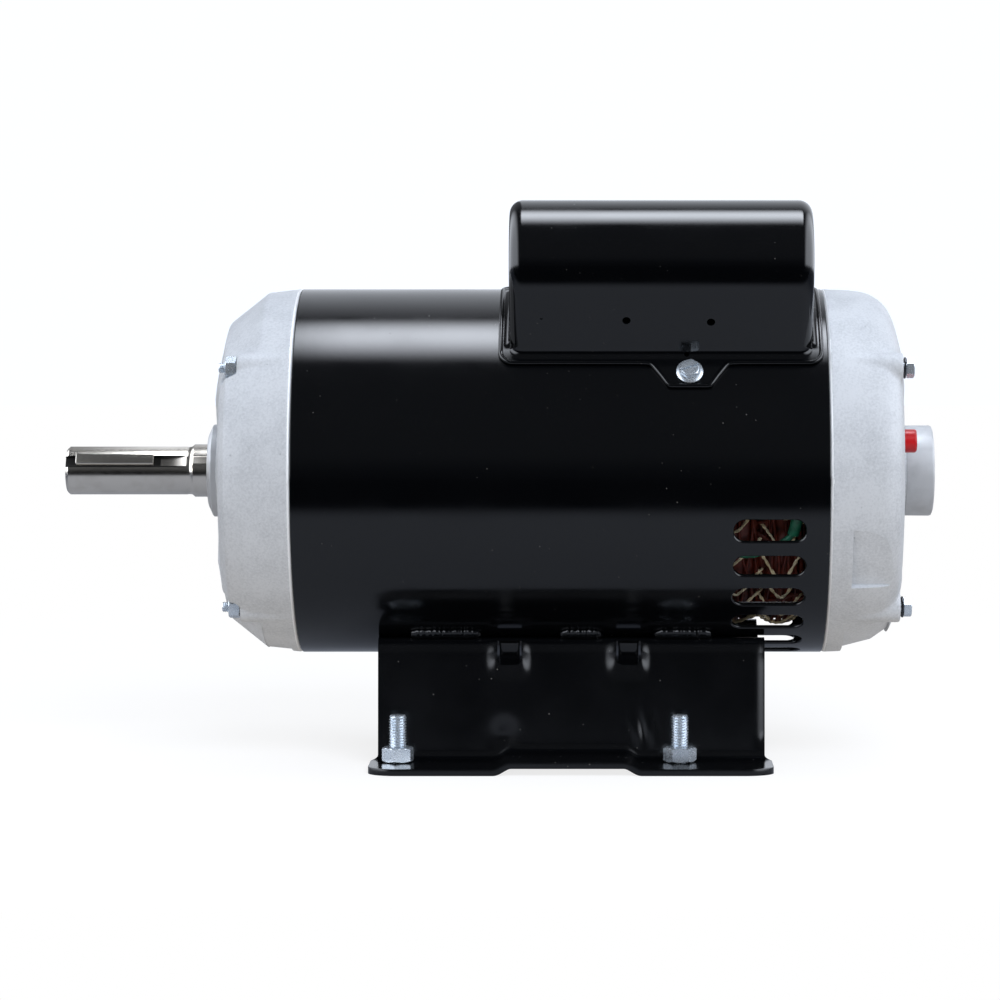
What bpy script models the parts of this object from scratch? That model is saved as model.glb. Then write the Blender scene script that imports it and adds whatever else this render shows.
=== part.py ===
"""Single-phase electric motor with a capacitor cover, on a stamped base.

The shaft lies along X with its drive end at -X, the base stands on z = 0, and
every piece is placed from the shaft axis.  Angles round the axis start at the
horizontal on the -Y side and grow upwards.
"""
import math

import bmesh
import bpy
from mathutils import Matrix, Vector

MM = 0.001
FIT = 0.3 * MM
FLAT_ANGLE = 0.5

# Frame of the motor
AXIS_HEIGHT = 131.0 * MM
SHELL_RADIUS = 84.2 * MM
SHELL_WALL = 1.6 * MM
SHELL_LENGTH = 240.0 * MM
SHELL_START = -91.0 * MM
SHELL_SIDES = 52

# Vent slots, the same row on both lower sides
VENT_COUNT = 6
VENT_FIRST = 15.4
VENT_PITCH = 11.95
VENT_WIDTH = 10.2 * MM
VENT_LENGTH = 32.2 * MM
VENT_TO_EDGE = 10.7 * MM

# Through bolts
BOLT_COUNT = 4
BOLT_FIRST = 40.0
BOLT_DIAMETER = 4.8 * MM
BOLT_INSET = 7.2 * MM
BOLT_HEAD_ACROSS = 8.0 * MM
BOLT_HEAD_HEIGHT = 3.4 * MM
BOLT_TIP = 3.0 * MM
BOLT_NUT_ACROSS = 9.0 * MM
BOLT_NUT_HEIGHT = 5.0 * MM
LOCK_WASHER_DIAMETER = 9.6 * MM
LOCK_WASHER_THICKNESS = 1.1 * MM
HOLE_CLEARANCE = 0.4 * MM

# End bells, as depths from the joint with the shell
SPIGOT_LENGTH = 5.0 * MM
SPIGOT_WALL = 3.0 * MM
BELL_WALL = 5.0 * MM
BELL_SAMPLES = 28
BOSS_SIDES = 10
BOSS_RADIUS = 7.0 * MM
POCKET_RADIUS = 7.8 * MM
HOLE_SIDES = 8
DRIVE_DEPTH = 38.2 * MM
DRIVE_SEAT = 24.7 * MM
DRIVE_HUB_RADIUS = 21.0 * MM
DRIVE_HUB_TIP_RADIUS = 17.0 * MM
DRIVE_HUB_PROUD = 4.0 * MM
DRIVE_FRONT_WALL = 8.2 * MM
REAR_DEPTH = 36.7 * MM
REAR_SEAT = 33.2 * MM
REAR_HUB_RADIUS = 21.0 * MM
REAR_HUB_PROUD = 14.7 * MM
REAR_HUB_NECK = 1.5 * MM
REAR_HUB_END_WALL = 3.1 * MM
HUB_WALL = 4.7 * MM
LEDGE_DEPTH = 3.6 * MM
LEDGE_TOP = -22.3 * MM
LEDGE_BOTTOM = -47.5 * MM
LEDGE_SLOPE = 0.65
LEDGE_TOP_DEPTH = 0.5 * MM
LEDGE_START = 10.0 * MM

# Sections of the bells, low over the top and bottom and full on the flanks: each
# point is set back from the face, outside or inside, and drops below the shell's radius
DRIVE_LOW = ((23.2 * MM, 1.7 * MM), (5.8 * MM, 15.5 * MM), (1.1 * MM, 35.2 * MM))
DRIVE_LOW_INSIDE = ((1.1 * MM, 36.7 * MM), (5.8 * MM, 19.1 * MM), (21.2 * MM, 5.9 * MM))
DRIVE_FLANK = ((17.0 * MM, 1.4 * MM), (8.8 * MM, 4.0 * MM), (5.6 * MM, 10.0 * MM))
DRIVE_FLANK_INSIDE = ((3.0 * MM, 35.2 * MM), (5.6 * MM, 14.5 * MM), (12.7 * MM, 6.4 * MM))
REAR_LOW = ((19.0 * MM, 1.2 * MM), (10.0 * MM, 5.5 * MM), (5.0 * MM, 12.7 * MM), (1.4 * MM, 25.0 * MM))
REAR_LOW_INSIDE = ((1.4 * MM, 27.5 * MM), (5.0 * MM, 16.5 * MM), (14.0 * MM, 6.4 * MM))
REAR_FLANK = ((15.0 * MM, 1.0 * MM), (7.5 * MM, 4.0 * MM), (4.6 * MM, 8.0 * MM), (2.9 * MM, 16.0 * MM))
REAR_FLANK_INSIDE = ((2.2 * MM, 25.0 * MM), (4.2 * MM, 12.5 * MM), (11.0 * MM, 6.9 * MM))
HUB_FILLET = 2.0 * MM
HUB_CHAMFER = 1.0 * MM

# Bearings
DRIVE_BEARING_BORE = 25.0 * MM
DRIVE_BEARING_OUTER = 52.0 * MM
DRIVE_BEARING_WIDTH = 15.0 * MM
REAR_BEARING_BORE = 15.0 * MM
REAR_BEARING_OUTER = 35.0 * MM
REAR_BEARING_WIDTH = 11.0 * MM
BEARING_RING = 3.1 * MM
BALL_COUNT = 6
RING_SIDES = 16
BALL_SWELL = (1.0, 0.72, 0.3, 0.72)
BALL_SECTION_POINTS = 6
WAVE_HEIGHT = 2.4 * MM
WAVE_THICKNESS = 0.6 * MM
WAVE_COUNT = 3

# Shaft and key
SHAFT_DIAMETER = 22.225 * MM
SHAFT_LENGTH = 58.7 * MM
SHOULDER_REACH = 8.5 * MM
SHAFT_CHAMFER = 1.2 * MM
ROTOR_SEAT_RADIUS = 15.0 * MM
GOVERNOR_SEAT_RADIUS = 12.0 * MM
REAR_STEP_RADIUS = 9.5 * MM
SHAFT_END_GAP = 2.0 * MM
KEY_WIDTH = 4.76 * MM
KEY_LENGTH = 36.0 * MM
KEY_FROM_TIP = 5.2 * MM
KEY_SINK = 2.4 * MM
KEYWAY_LENGTH = 44.0 * MM
KEYWAY_CUTTER_RADIUS = 36.0 * MM
KEY_ANGLE = 27.5
KEY_FIT = 0.15 * MM

# Stator and rotor
STACK_START = -21.0 * MM
STACK_LENGTH = 105.0 * MM
STATOR_BORE_RADIUS = 40.0 * MM
SLOT_COUNT = 18
SLOT_DEPTH = 21.5 * MM
SLOT_WIDTH = 6.0 * MM
COIL_HEIGHT = 9.0 * MM
AIR_GAP = 0.5 * MM
TURNS_RADIUS = 53.5 * MM
TURNS_HALF_HEIGHT = 6.6 * MM
TURNS_HALF_LENGTH = 13.0 * MM
TURNS_STANDOFF = 10.0 * MM
TURNS_POINTS = 8
WIRE_DIAMETER = 2.5 * MM
WIRE_TURNS = 7
WIRE_PITCH = 3.4 * MM
WIRE_POINTS = 24
WIRE_START = 118.0
WIRE_ANGLE = 10.0
LACING_DIAMETER = 1.6 * MM
LACING_WRAPS = 9
LACING_POINTS = 10
CAGE_BARS = 10
CAGE_BAR_WIDTH = 4.0 * MM
CAGE_BAR_DEPTH = 9.0 * MM
CAGE_RING_LENGTH = 11.0 * MM
CAGE_RING_HEIGHT = 11.0 * MM
CAGE_RING_INSET = 1.0 * MM
BLADE_COUNT = 6
BLADE_LENGTH = 13.0 * MM
BLADE_THICKNESS = 3.0 * MM
BLADE_HEIGHT = 8.0 * MM

# Governor on the shaft and start switch on the rear bell
SWITCH_PLATE_DEPTH = 8.7 * MM
SWITCH_PLATE_THICKNESS = 2.0 * MM
SWITCH_PLATE_RADIUS = 68.0 * MM
SWITCH_PLATE_HOLE = 33.0 * MM
SWITCH_POST_RADIUS = 5.0 * MM
SWITCH_POST_CIRCLE = 60.0 * MM
SWITCH_POST_ANGLES = (85.0, -95.0)
COLLAR_TO_PLATE = 8.0 * MM
COLLAR_LENGTH = 15.5 * MM
COLLAR_WALL = 4.2 * MM
COLLAR_FLANGE_RADIUS = 26.0 * MM
COLLAR_FLANGE = 3.0 * MM
COLLAR_GROOVE_RADIUS = 21.0 * MM
COLLAR_GROOVE_WIDTH = 5.0 * MM
COLLAR_FRONT = 3.0 * MM
COLLAR_RIB = 2.0 * MM
GOVERNOR_PLATE_RADIUS = 31.0 * MM
GOVERNOR_PLATE_THICKNESS = 3.0 * MM
WEIGHT_PIVOT_RADIUS = 27.0 * MM
WEIGHT_LENGTH = 14.0 * MM
WEIGHT_WIDTH = 14.0 * MM
WEIGHT_THICKNESS = 6.0 * MM
WEIGHT_ANGLES = (85.0, -95.0)
FINGER_WIDTH = 6.0 * MM
FINGER_THICKNESS = 2.4 * MM
PIN_RADIUS = 1.2 * MM
EAR_THICKNESS = 1.5 * MM
LEVER_ANGLE = -95.0
LEVER_PIVOT_RADIUS = 44.0 * MM
LEVER_REACH = 24.0 * MM
LEVER_WIDTH = 8.0 * MM
LEVER_THICKNESS = 2.0 * MM
LEVER_PIVOT_GAP = 3.0 * MM
TERMINAL_ANGLE = 150.0
TERMINAL_LENGTH = 36.0 * MM
TERMINAL_WIDTH = 18.0 * MM
TERMINAL_HEIGHT = 8.0 * MM

# Overload protector and its button
BUTTON_DIAMETER = 10.6 * MM
BUTTON_SIDE = 45.0 * MM
BUTTON_RISE = 16.0 * MM
BUTTON_PROUD = 4.0 * MM
BUTTON_TRAVEL = 2.5 * MM
BUTTON_FLANGE = 1.2 * MM
BUTTON_STEM_RADIUS = 2.0 * MM
BUTTON_STEM_ROOM = 2.0 * MM
BUTTON_EDGE = 0.8 * MM
BUTTON_TO_WALL = 2.3 * MM
PROTECTOR_RADIUS = 14.0 * MM

# Capacitor and its cover, along one line off the top towards -Y
COVER_ANGLE = 60.0
COVER_START = 6.2 * MM
COVER_LENGTH = 135.5 * MM
COVER_RADIUS = 28.5 * MM
COVER_RISE = 26.8 * MM
COVER_WALL = 1.2 * MM
COVER_EDGE = 6.0 * MM
COVER_LIP = 4.0 * MM
COVER_ARCH = 12
TAB_X = 86.6 * MM
TAB_ANGLE = 26.0
TAB_TOP_WIDTH = 34.0 * MM
TAB_TIP_WIDTH = 18.0 * MM
TAB_MARGIN = 6.5 * MM
COVER_SCREW_DIAMETER = 4.0 * MM
COVER_SCREW_FLANGE = 12.0 * MM
COVER_SCREW_ACROSS = 8.0 * MM
COVER_SCREW_HEIGHT = 4.2 * MM
COVER_SCREW_RIM = 1.3 * MM
COVER_SCREW_LENGTH = 8.0 * MM
CAPACITOR_RADIUS = 26.0 * MM
CAPACITOR_LENGTH = 96.0 * MM
CAPACITOR_START = 14.0 * MM
TERMINAL_TAB_SIZE = 6.0 * MM
TERMINAL_TAB_THICKNESS = 1.0 * MM
WIRE_HOLE_X = 128.0 * MM
GROMMET_RADIUS = 6.5 * MM
GROMMET_LIP = 1.6 * MM
LEAD_DIAMETER = 3.0 * MM
LEAD_DROP = 8.0 * MM
LEAD_INSET = 6.0 * MM
LEAD_STRAIGHT = 12.0 * MM
GROUND_ANGLES = (8.0, -8.0, -20.0, -27.0, -24.0)
GROUND_BENDS = (17.0 * MM, 22.0 * MM, 36.0 * MM)
GROUND_INSET = 7.8 * MM

# Base
BASE_SHEET = 3.0 * MM
BASE_START = -54.0 * MM
BASE_LENGTH = 175.3 * MM
BASE_HALF_WIDTH = 86.5 * MM
BASE_WELD_ANGLE = 59.0
BASE_BEND = 5.5 * MM
FOOT_WIDTH = 36.5 * MM
FOOT_OVERHANG = 3.0 * MM
OVERHANG_POINTS = 4
FOOT_CORNER = 10.0 * MM
FOOT_DRIVE_LENGTH = 57.0 * MM
FOOT_REAR_LENGTH = 60.0 * MM
FLANGE_RISE = 3.2 * MM
JOGGLE_LENGTH = 5.0 * MM
STUD_FROM_DRIVE_EDGE = 9.6 * MM
STUD_FROM_REAR_EDGE = 38.7 * MM
STUD_FROM_SIDE = 24.5 * MM
STUD_DIAMETER = 8.0 * MM
STUD_HEAD_DIAMETER = 10.6 * MM
STUD_HEAD_HEIGHT = 1.3 * MM
STUD_PROUD = 14.5 * MM
STUD_CHAMFER = 1.0 * MM
STUD_NUT_ACROSS = 13.0 * MM
STUD_NUT_HEIGHT = 6.6 * MM
NOTCH_CENTRES = (5.5 * MM, 59.6 * MM)
NOTCH_WIDTH = 11.0 * MM
NOTCH_HEIGHT = 12.0 * MM

# Places that follow from the sizes above
SHELL_END = SHELL_START + SHELL_LENGTH
SHELL_BORE = SHELL_RADIUS - SHELL_WALL
DRIVE_JOINT = SHELL_START - FIT
REAR_JOINT = SHELL_END + FIT
BOLT_CIRCLE = SHELL_RADIUS - BOLT_INSET
SPIGOT_RADIUS = SHELL_BORE - FIT
SPIGOT_BORE = SPIGOT_RADIUS - SPIGOT_WALL
STACK_END = STACK_START + STACK_LENGTH
DRIVE_POCKET = DRIVE_DEPTH - DRIVE_FRONT_WALL
DRIVE_BEARING_FRONT = DRIVE_JOINT - DRIVE_POCKET + FIT
DRIVE_BEARING_BACK = DRIVE_BEARING_FRONT + DRIVE_BEARING_WIDTH
REAR_POCKET = REAR_DEPTH + REAR_HUB_PROUD - REAR_HUB_END_WALL
WAVE_BACK = REAR_JOINT + REAR_POCKET - FIT
REAR_BEARING_BACK = WAVE_BACK - WAVE_HEIGHT - FIT
REAR_BEARING_FRONT = REAR_BEARING_BACK - REAR_BEARING_WIDTH
SHAFT_TIP = DRIVE_JOINT - DRIVE_DEPTH - DRIVE_HUB_PROUD - SHOULDER_REACH - SHAFT_LENGTH
SHAFT_END = WAVE_BACK - SHAFT_END_GAP
SWITCH_PLATE_FRONT = REAR_JOINT + SWITCH_PLATE_DEPTH
SWITCH_PLATE_BACK = SWITCH_PLATE_FRONT + SWITCH_PLATE_THICKNESS
COLLAR_BACK = SWITCH_PLATE_FRONT - COLLAR_TO_PLATE
COLLAR_START = COLLAR_BACK - COLLAR_LENGTH
GROOVE_CENTRE = COLLAR_START + COLLAR_FRONT + COLLAR_GROOVE_WIDTH / 2
GOVERNOR_BACK = GROOVE_CENTRE - WEIGHT_LENGTH - FINGER_THICKNESS - FIT
SADDLE_RADIUS = SHELL_RADIUS + FIT + BASE_SHEET / 2
COVER_SEAT = SHELL_RADIUS + FIT
COVER_CENTRE = SHELL_RADIUS + COVER_RISE
BASE_END = BASE_START + BASE_LENGTH
BASE_WALL_FOOT = BASE_HALF_WIDTH - FOOT_WIDTH
STUD_HALF_SPAN = BASE_HALF_WIDTH - STUD_FROM_SIDE
LACING_OFFSET = WIRE_DIAMETER + 6 * FIT + LACING_DIAMETER / 2
TURNS_CENTRE = STACK_END + TURNS_STANDOFF + TURNS_HALF_LENGTH

# Colour, roughness and metallic value of each finish
FINISHES = {
    "black_enamel": ((0.006, 0.006, 0.007), 0.22, 0.0),
    "cast_aluminium": ((0.60, 0.61, 0.62), 0.45, 1.0),
    "zinc_plate": ((0.66, 0.68, 0.70), 0.30, 1.0),
    "turned_steel": ((0.58, 0.57, 0.56), 0.24, 1.0),
    "lamination_steel": ((0.10, 0.10, 0.11), 0.55, 0.8),
    "enamelled_wire": ((0.10, 0.020, 0.012), 0.35, 0.0),
    "lacing_cord": ((0.58, 0.50, 0.34), 0.80, 0.0),
    "red_plastic": ((0.55, 0.012, 0.010), 0.35, 0.0),
    "black_plastic": ((0.015, 0.015, 0.016), 0.45, 0.0),
    "brown_board": ((0.16, 0.075, 0.030), 0.60, 0.0),
    "green_sleeve": ((0.012, 0.11, 0.050), 0.45, 0.0),
    "rubber": ((0.012, 0.012, 0.012), 0.70, 0.0),
    "spring_steel": ((0.30, 0.30, 0.31), 0.35, 1.0),
}


def clear_scene():
    """Take every object out of the scene."""
    for thing in list(bpy.data.objects):
        bpy.data.objects.remove(thing, do_unlink=True)


def finish_material(node, finish):
    """Material of one node, in the named finish."""
    colour, roughness, metallic = FINISHES[finish]
    material = bpy.data.materials.new(node + "_" + finish)
    material.use_nodes = True
    shader = material.node_tree.nodes["Principled BSDF"]
    shader.inputs["Base Color"].default_value = (*colour, 1.0)
    shader.inputs["Roughness"].default_value = roughness
    shader.inputs["Metallic"].default_value = metallic
    return material


def empty(name, place, parent=None):
    """Empty that carries pieces on one axis."""
    holder = bpy.data.objects.new(name, None)
    holder.location = place
    holder.parent = parent
    bpy.context.scene.collection.objects.link(holder)
    return holder


def node(name, mesh, finish, parent, place=(0.0, 0.0, 0.0)):
    """One piece of the motor, from its mesh."""
    mesh.name = name
    mesh.materials.append(finish_material(name, finish))
    mesh.shade_smooth()
    mesh.set_sharp_from_angle(angle=math.radians(32))
    piece = bpy.data.objects.new(name, mesh)
    piece.parent = parent
    piece.location = place
    bpy.context.scene.collection.objects.link(piece)
    return piece


def shape(piece, operation, mesh):
    """Cut, join or trim a piece by a mesh given in the piece's own place."""
    tool = bpy.data.objects.new(piece.name + "_" + operation.lower(), mesh)
    tool.parent = piece.parent
    tool.location = piece.location
    tool.hide_render = True
    tool.display_type = 'WIRE'
    bpy.context.scene.collection.objects.link(tool)
    modifier = piece.modifiers.new(operation.lower(), 'BOOLEAN')
    modifier.operation = operation
    modifier.solver = 'EXACT'
    modifier.object = tool
    return piece


def mesh_of(bm):
    """Mesh of a bmesh, with its faces pointing out."""
    bmesh.ops.recalc_face_normals(bm, faces=bm.faces)
    mesh = bpy.data.meshes.new("form")
    bm.to_mesh(mesh)
    bm.free()
    return mesh


def merged(meshes):
    """One mesh of several separate ones."""
    bm = bmesh.new()
    for mesh in meshes:
        bm.from_mesh(mesh)
    return mesh_of(bm)


def moved(mesh, matrix):
    """The mesh after a move."""
    mesh.transform(matrix)
    return mesh


def polar(radius, degrees):
    """Y and Z of a point round the axis."""
    angle = math.radians(degrees)
    return -radius * math.cos(angle), radius * math.sin(angle)


def on_axis(x, radius, degrees):
    """Point at a radius and angle round the axis."""
    return Vector((x, *polar(radius, degrees)))


def radial_place(x, radius, degrees):
    """Matrix whose local Z points out from the axis and whose local X is the axis."""
    outward = Vector((0.0, *polar(1.0, degrees)))
    along = Vector((1.0, 0.0, 0.0))
    turn = Matrix((along, outward.cross(along), outward)).transposed().to_4x4()
    return Matrix.Translation(outward * radius + along * x) @ turn


def axial_place(x, radius, degrees):
    """Matrix whose local Z is the axis, local X points out and local Y runs round."""
    along = Vector((1.0, 0.0, 0.0))
    outward = Vector((0.0, *polar(1.0, degrees)))
    turn = Matrix((outward, along.cross(outward), along)).transposed().to_4x4()
    return Matrix.Translation(outward * radius + along * x) @ turn


def along_x():
    """Matrix that lays a prism along the shaft."""
    return Matrix(((0, 0, 1, 0), (1, 0, 0, 0), (0, 1, 0, 0), (0, 0, 0, 1)))


def upright():
    """Matrix that stands a turned form on its end."""
    return Matrix(((0, 1, 0, 0), (0, 0, 1, 0), (1, 0, 0, 0), (0, 0, 0, 1)))


def circle(radius, count):
    """Outline of a circle."""
    steps = [math.tau * step / count for step in range(count)]
    return [(radius * math.cos(angle), radius * math.sin(angle)) for angle in steps]


def hexagon(across):
    """Outline of a hexagon of that width across flats."""
    return circle(across / math.sqrt(3.0), 6)


def box_outline(width, height, centre=(0.0, 0.0)):
    """Outline of a rectangle."""
    x, y = centre
    half, rise = width / 2, height / 2
    return [(x - half, y - rise), (x + half, y - rise), (x + half, y + rise), (x - half, y + rise)]


def stadium(length, width, points=5):
    """Outline of a slot with round ends."""
    reach = (length - width) / 2
    outline = []
    for side in (1, -1):
        for step in range(points):
            angle = math.pi * (step / (points - 1) - 0.5)
            x, y = width / 2 * math.cos(angle), width / 2 * math.sin(angle)
            outline.append((side * (reach + x), side * y))
    return outline


def prism(loops, low, high, place=None):
    """Solid between two heights, from an outline and any holes in it."""
    bm = bmesh.new()
    edges = []
    for loop in loops:
        verts = [bm.verts.new((x, y, low)) for x, y in loop]
        edges += [bm.edges.new((verts[i - 1], verts[i])) for i in range(len(verts))]
    bmesh.ops.triangle_fill(bm, use_beauty=True, edges=edges)
    grown = bmesh.ops.extrude_face_region(bm, geom=bm.faces[:])["geom"]
    lifted = [item for item in grown if isinstance(item, bmesh.types.BMVert)]
    bmesh.ops.translate(bm, verts=lifted, vec=(0.0, 0.0, high - low))
    mesh = mesh_of(bm)
    return moved(mesh, place) if place else mesh


def lofted(rings, wrap_rings):
    """Closed surface through rings of as many points each; a ring of one point is a pole."""
    bm = bmesh.new()
    rows = [[bm.verts.new(point) for point in ring] for ring in rings]
    pairs = list(zip(rows, rows[1:]))
    if wrap_rings:
        pairs.append((rows[-1], rows[0]))
    for one, two in pairs:
        count = max(len(one), len(two))
        if count == 1:
            continue
        for i in range(count):
            j = (i + 1) % count
            corners = [one[i % len(one)], one[j % len(one)], two[j % len(two)], two[i % len(two)]]
            bm.faces.new(list(dict.fromkeys(corners)))
    bmesh.ops.connect_verts_nonplanar(bm, angle_limit=math.radians(FLAT_ANGLE), faces=bm.faces)
    return mesh_of(bm)


def turned(profile, sides, closed=True):
    """Solid turned about the axis from (x, radius) points; an open profile ends on the axis."""
    rings = []
    for x, radius in profile:
        if radius <= 0.0:
            rings.append([(x, 0.0, 0.0)])
        else:
            rings.append([(x, y, z) for y, z in circle(radius, sides)])
    return lofted(rings, closed)


def round_bar(radius, low, high, sides, place=None):
    """Cylinder between two heights."""
    return prism([circle(radius, sides)], low, high, place)


def tube(name, points, diameter, finish, parent):
    """Cord or wire along points."""
    curve = bpy.data.curves.new(name, 'CURVE')
    curve.dimensions = '3D'
    curve.bevel_depth = diameter / 2
    curve.bevel_resolution = 1
    curve.use_fill_caps = True
    spline = curve.splines.new('POLY')
    spline.points.add(len(points) - 1)
    for slot, point in zip(spline.points, points):
        slot.co = (*point, 1.0)
    curve.materials.append(finish_material(name, finish))
    piece = bpy.data.objects.new(name, curve)
    piece.parent = parent
    bpy.context.scene.collection.objects.link(piece)
    return piece


def smooth_route(points, steps):
    """Points read from a smooth curve through a hand-chosen route."""
    spread = [points[0], *points, points[-1]]
    route = []
    for before, start, end, after in zip(spread, spread[1:], spread[2:], spread[3:]):
        for step in range(steps):
            t = step / steps
            route.append(0.5 * (2 * start + (end - before) * t
                                + (2 * before - 5 * start + 4 * end - after) * t ** 2
                                + (3 * start - before - 3 * end + after) * t ** 3))
    return route + [points[-1]]


def lead_route(points):
    """Route of a lead: straight at both ends and smooth between."""
    return [points[0], *smooth_route(points[1:-1], 2), points[-1]]


def least_self_gap(points, diameter, skip):
    """Least clear gap between far stretches of one tube."""
    least = math.inf
    for i, one in enumerate(points):
        for two in points[i + skip:]:
            least = min(least, (one - two).length)
    return least - diameter


def vent_angles():
    """Angles of the vent slots, near side then far side."""
    below = [VENT_FIRST + VENT_PITCH * step for step in range(VENT_COUNT)]
    return [-angle for angle in below] + [180.0 + angle for angle in below]


def bolt_angles():
    """Angles of the through bolts."""
    return [BOLT_FIRST + 360.0 / BOLT_COUNT * step for step in range(BOLT_COUNT)]


def screw_angles():
    """Angles of the two cover screws, either side of the cover."""
    return COVER_ANGLE - TAB_ANGLE, COVER_ANGLE + TAB_ANGLE


def build_shell(axis):
    """Rolled steel shell with its vents and screw holes."""
    wall = [(SHELL_START, SHELL_RADIUS), (SHELL_END, SHELL_RADIUS),
            (SHELL_END, SHELL_BORE), (SHELL_START, SHELL_BORE)]
    shell = node("shell", turned(wall, SHELL_SIDES), "black_enamel", axis)
    depth = 4 * SHELL_WALL
    vent_x = SHELL_END - VENT_TO_EDGE - VENT_LENGTH / 2
    vent = [stadium(VENT_LENGTH, VENT_WIDTH)]
    cuts = [prism(vent, -depth, depth, radial_place(vent_x, SHELL_RADIUS, angle))
            for angle in vent_angles()]
    screw_hole = COVER_SCREW_DIAMETER / 2 + FIT
    cuts += [round_bar(screw_hole, -depth, depth, HOLE_SIDES, radial_place(TAB_X, SHELL_RADIUS, angle))
             for angle in screw_angles()]
    cuts.append(round_bar(GROMMET_RADIUS + FIT, -depth, depth, RING_SIDES,
                          radial_place(WIRE_HOLE_X, SHELL_RADIUS, COVER_ANGLE)))
    shape(shell, 'DIFFERENCE', merged(cuts))


def bell_rings(low, high, joint, side):
    """Rings of a bell whose section is low over the top and bottom and high on both flanks."""
    step = 360.0 / BELL_SAMPLES
    angles = [BOLT_FIRST + step * (index + 0.5) for index in range(BELL_SAMPLES)]
    sector = 360.0 / BOLT_COUNT
    rings = []
    for (low_depth, low_radius), (high_depth, high_radius) in zip(low, high):
        if low_radius <= 0.0:
            rings.append([(joint + side * low_depth, 0.0, 0.0)])
            continue
        ring = []
        for angle in angles:
            flank = int((angle - BOLT_FIRST) // sector) % 2 == 1
            depth = high_depth if flank else low_depth
            radius = high_radius if flank else low_radius
            ring.append(tuple(on_axis(joint + side * depth, radius, angle)))
        rings.append(ring)
    return rings


def finish_bell(bell, joint, side, seat):
    """Bolt bosses, nut pockets and bolt holes of a bell."""
    boss_span = sorted((side * SPIGOT_WALL, side * (seat + SPIGOT_WALL)))
    pocket_span = sorted((side * seat, side * (seat + 3 * BOSS_RADIUS)))
    hole_span = sorted((-side * (SPIGOT_LENGTH + FIT), side * (seat + BOSS_RADIUS / 2)))
    hole = BOLT_DIAMETER / 2 + HOLE_CLEARANCE
    bosses, pockets, holes = [], [], []
    for angle in bolt_angles():
        place = axial_place(joint, BOLT_CIRCLE, angle)
        bosses.append(round_bar(BOSS_RADIUS, *boss_span, BOSS_SIDES, place))
        pockets.append(round_bar(POCKET_RADIUS, *pocket_span, BOSS_SIDES, place))
        holes.append(round_bar(hole, *hole_span, HOLE_SIDES, place))
    shape(bell, 'UNION', merged(bosses))
    shape(bell, 'DIFFERENCE', merged(pockets))
    shape(bell, 'DIFFERENCE', merged(holes))


def bell_section(depth, outside, nose, inside):
    """Section of a bell: out along its outside, round its hub and back inside to the spigot."""
    inner = depth - BELL_WALL
    section = [(0.0, SHELL_RADIUS)]
    section += [(depth - back, SHELL_RADIUS - drop) for back, drop in outside]
    section += nose
    section += [(inner - back, SHELL_RADIUS - drop) for back, drop in inside]
    return section + [(0.0, SPIGOT_BORE), (-SPIGOT_LENGTH, SPIGOT_BORE), (-SPIGOT_LENGTH, SPIGOT_RADIUS),
                      (0.0, SPIGOT_RADIUS)]


def build_drive_bell(axis):
    """Cast bell at the drive end, chamfered above and below and full on the flanks."""
    bore = DRIVE_BEARING_BORE / 2 + FIT
    pocket = DRIVE_BEARING_OUTER / 2 + FIT
    hub = pocket + HUB_WALL
    hub_depth = DRIVE_POCKET - DRIVE_BEARING_WIDTH - FIT
    tip = DRIVE_DEPTH + DRIVE_HUB_PROUD
    nose = [(DRIVE_DEPTH, DRIVE_HUB_RADIUS), (tip - DRIVE_HUB_PROUD / 2, DRIVE_HUB_RADIUS),
            (tip, DRIVE_HUB_TIP_RADIUS), (tip, bore), (DRIVE_POCKET, bore), (DRIVE_POCKET, pocket),
            (hub_depth, pocket), (hub_depth, hub),
            (DRIVE_DEPTH - BELL_WALL - HUB_CHAMFER, hub + HUB_CHAMFER)]
    low = bell_section(DRIVE_DEPTH, DRIVE_LOW, nose, DRIVE_LOW_INSIDE)
    flank = bell_section(DRIVE_DEPTH, DRIVE_FLANK, nose, DRIVE_FLANK_INSIDE)
    form = lofted(bell_rings(low, flank, DRIVE_JOINT, -1), True)
    bell = node("drive_end_bell", form, "cast_aluminium", axis)
    finish_bell(bell, DRIVE_JOINT, -1, DRIVE_SEAT)


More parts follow.
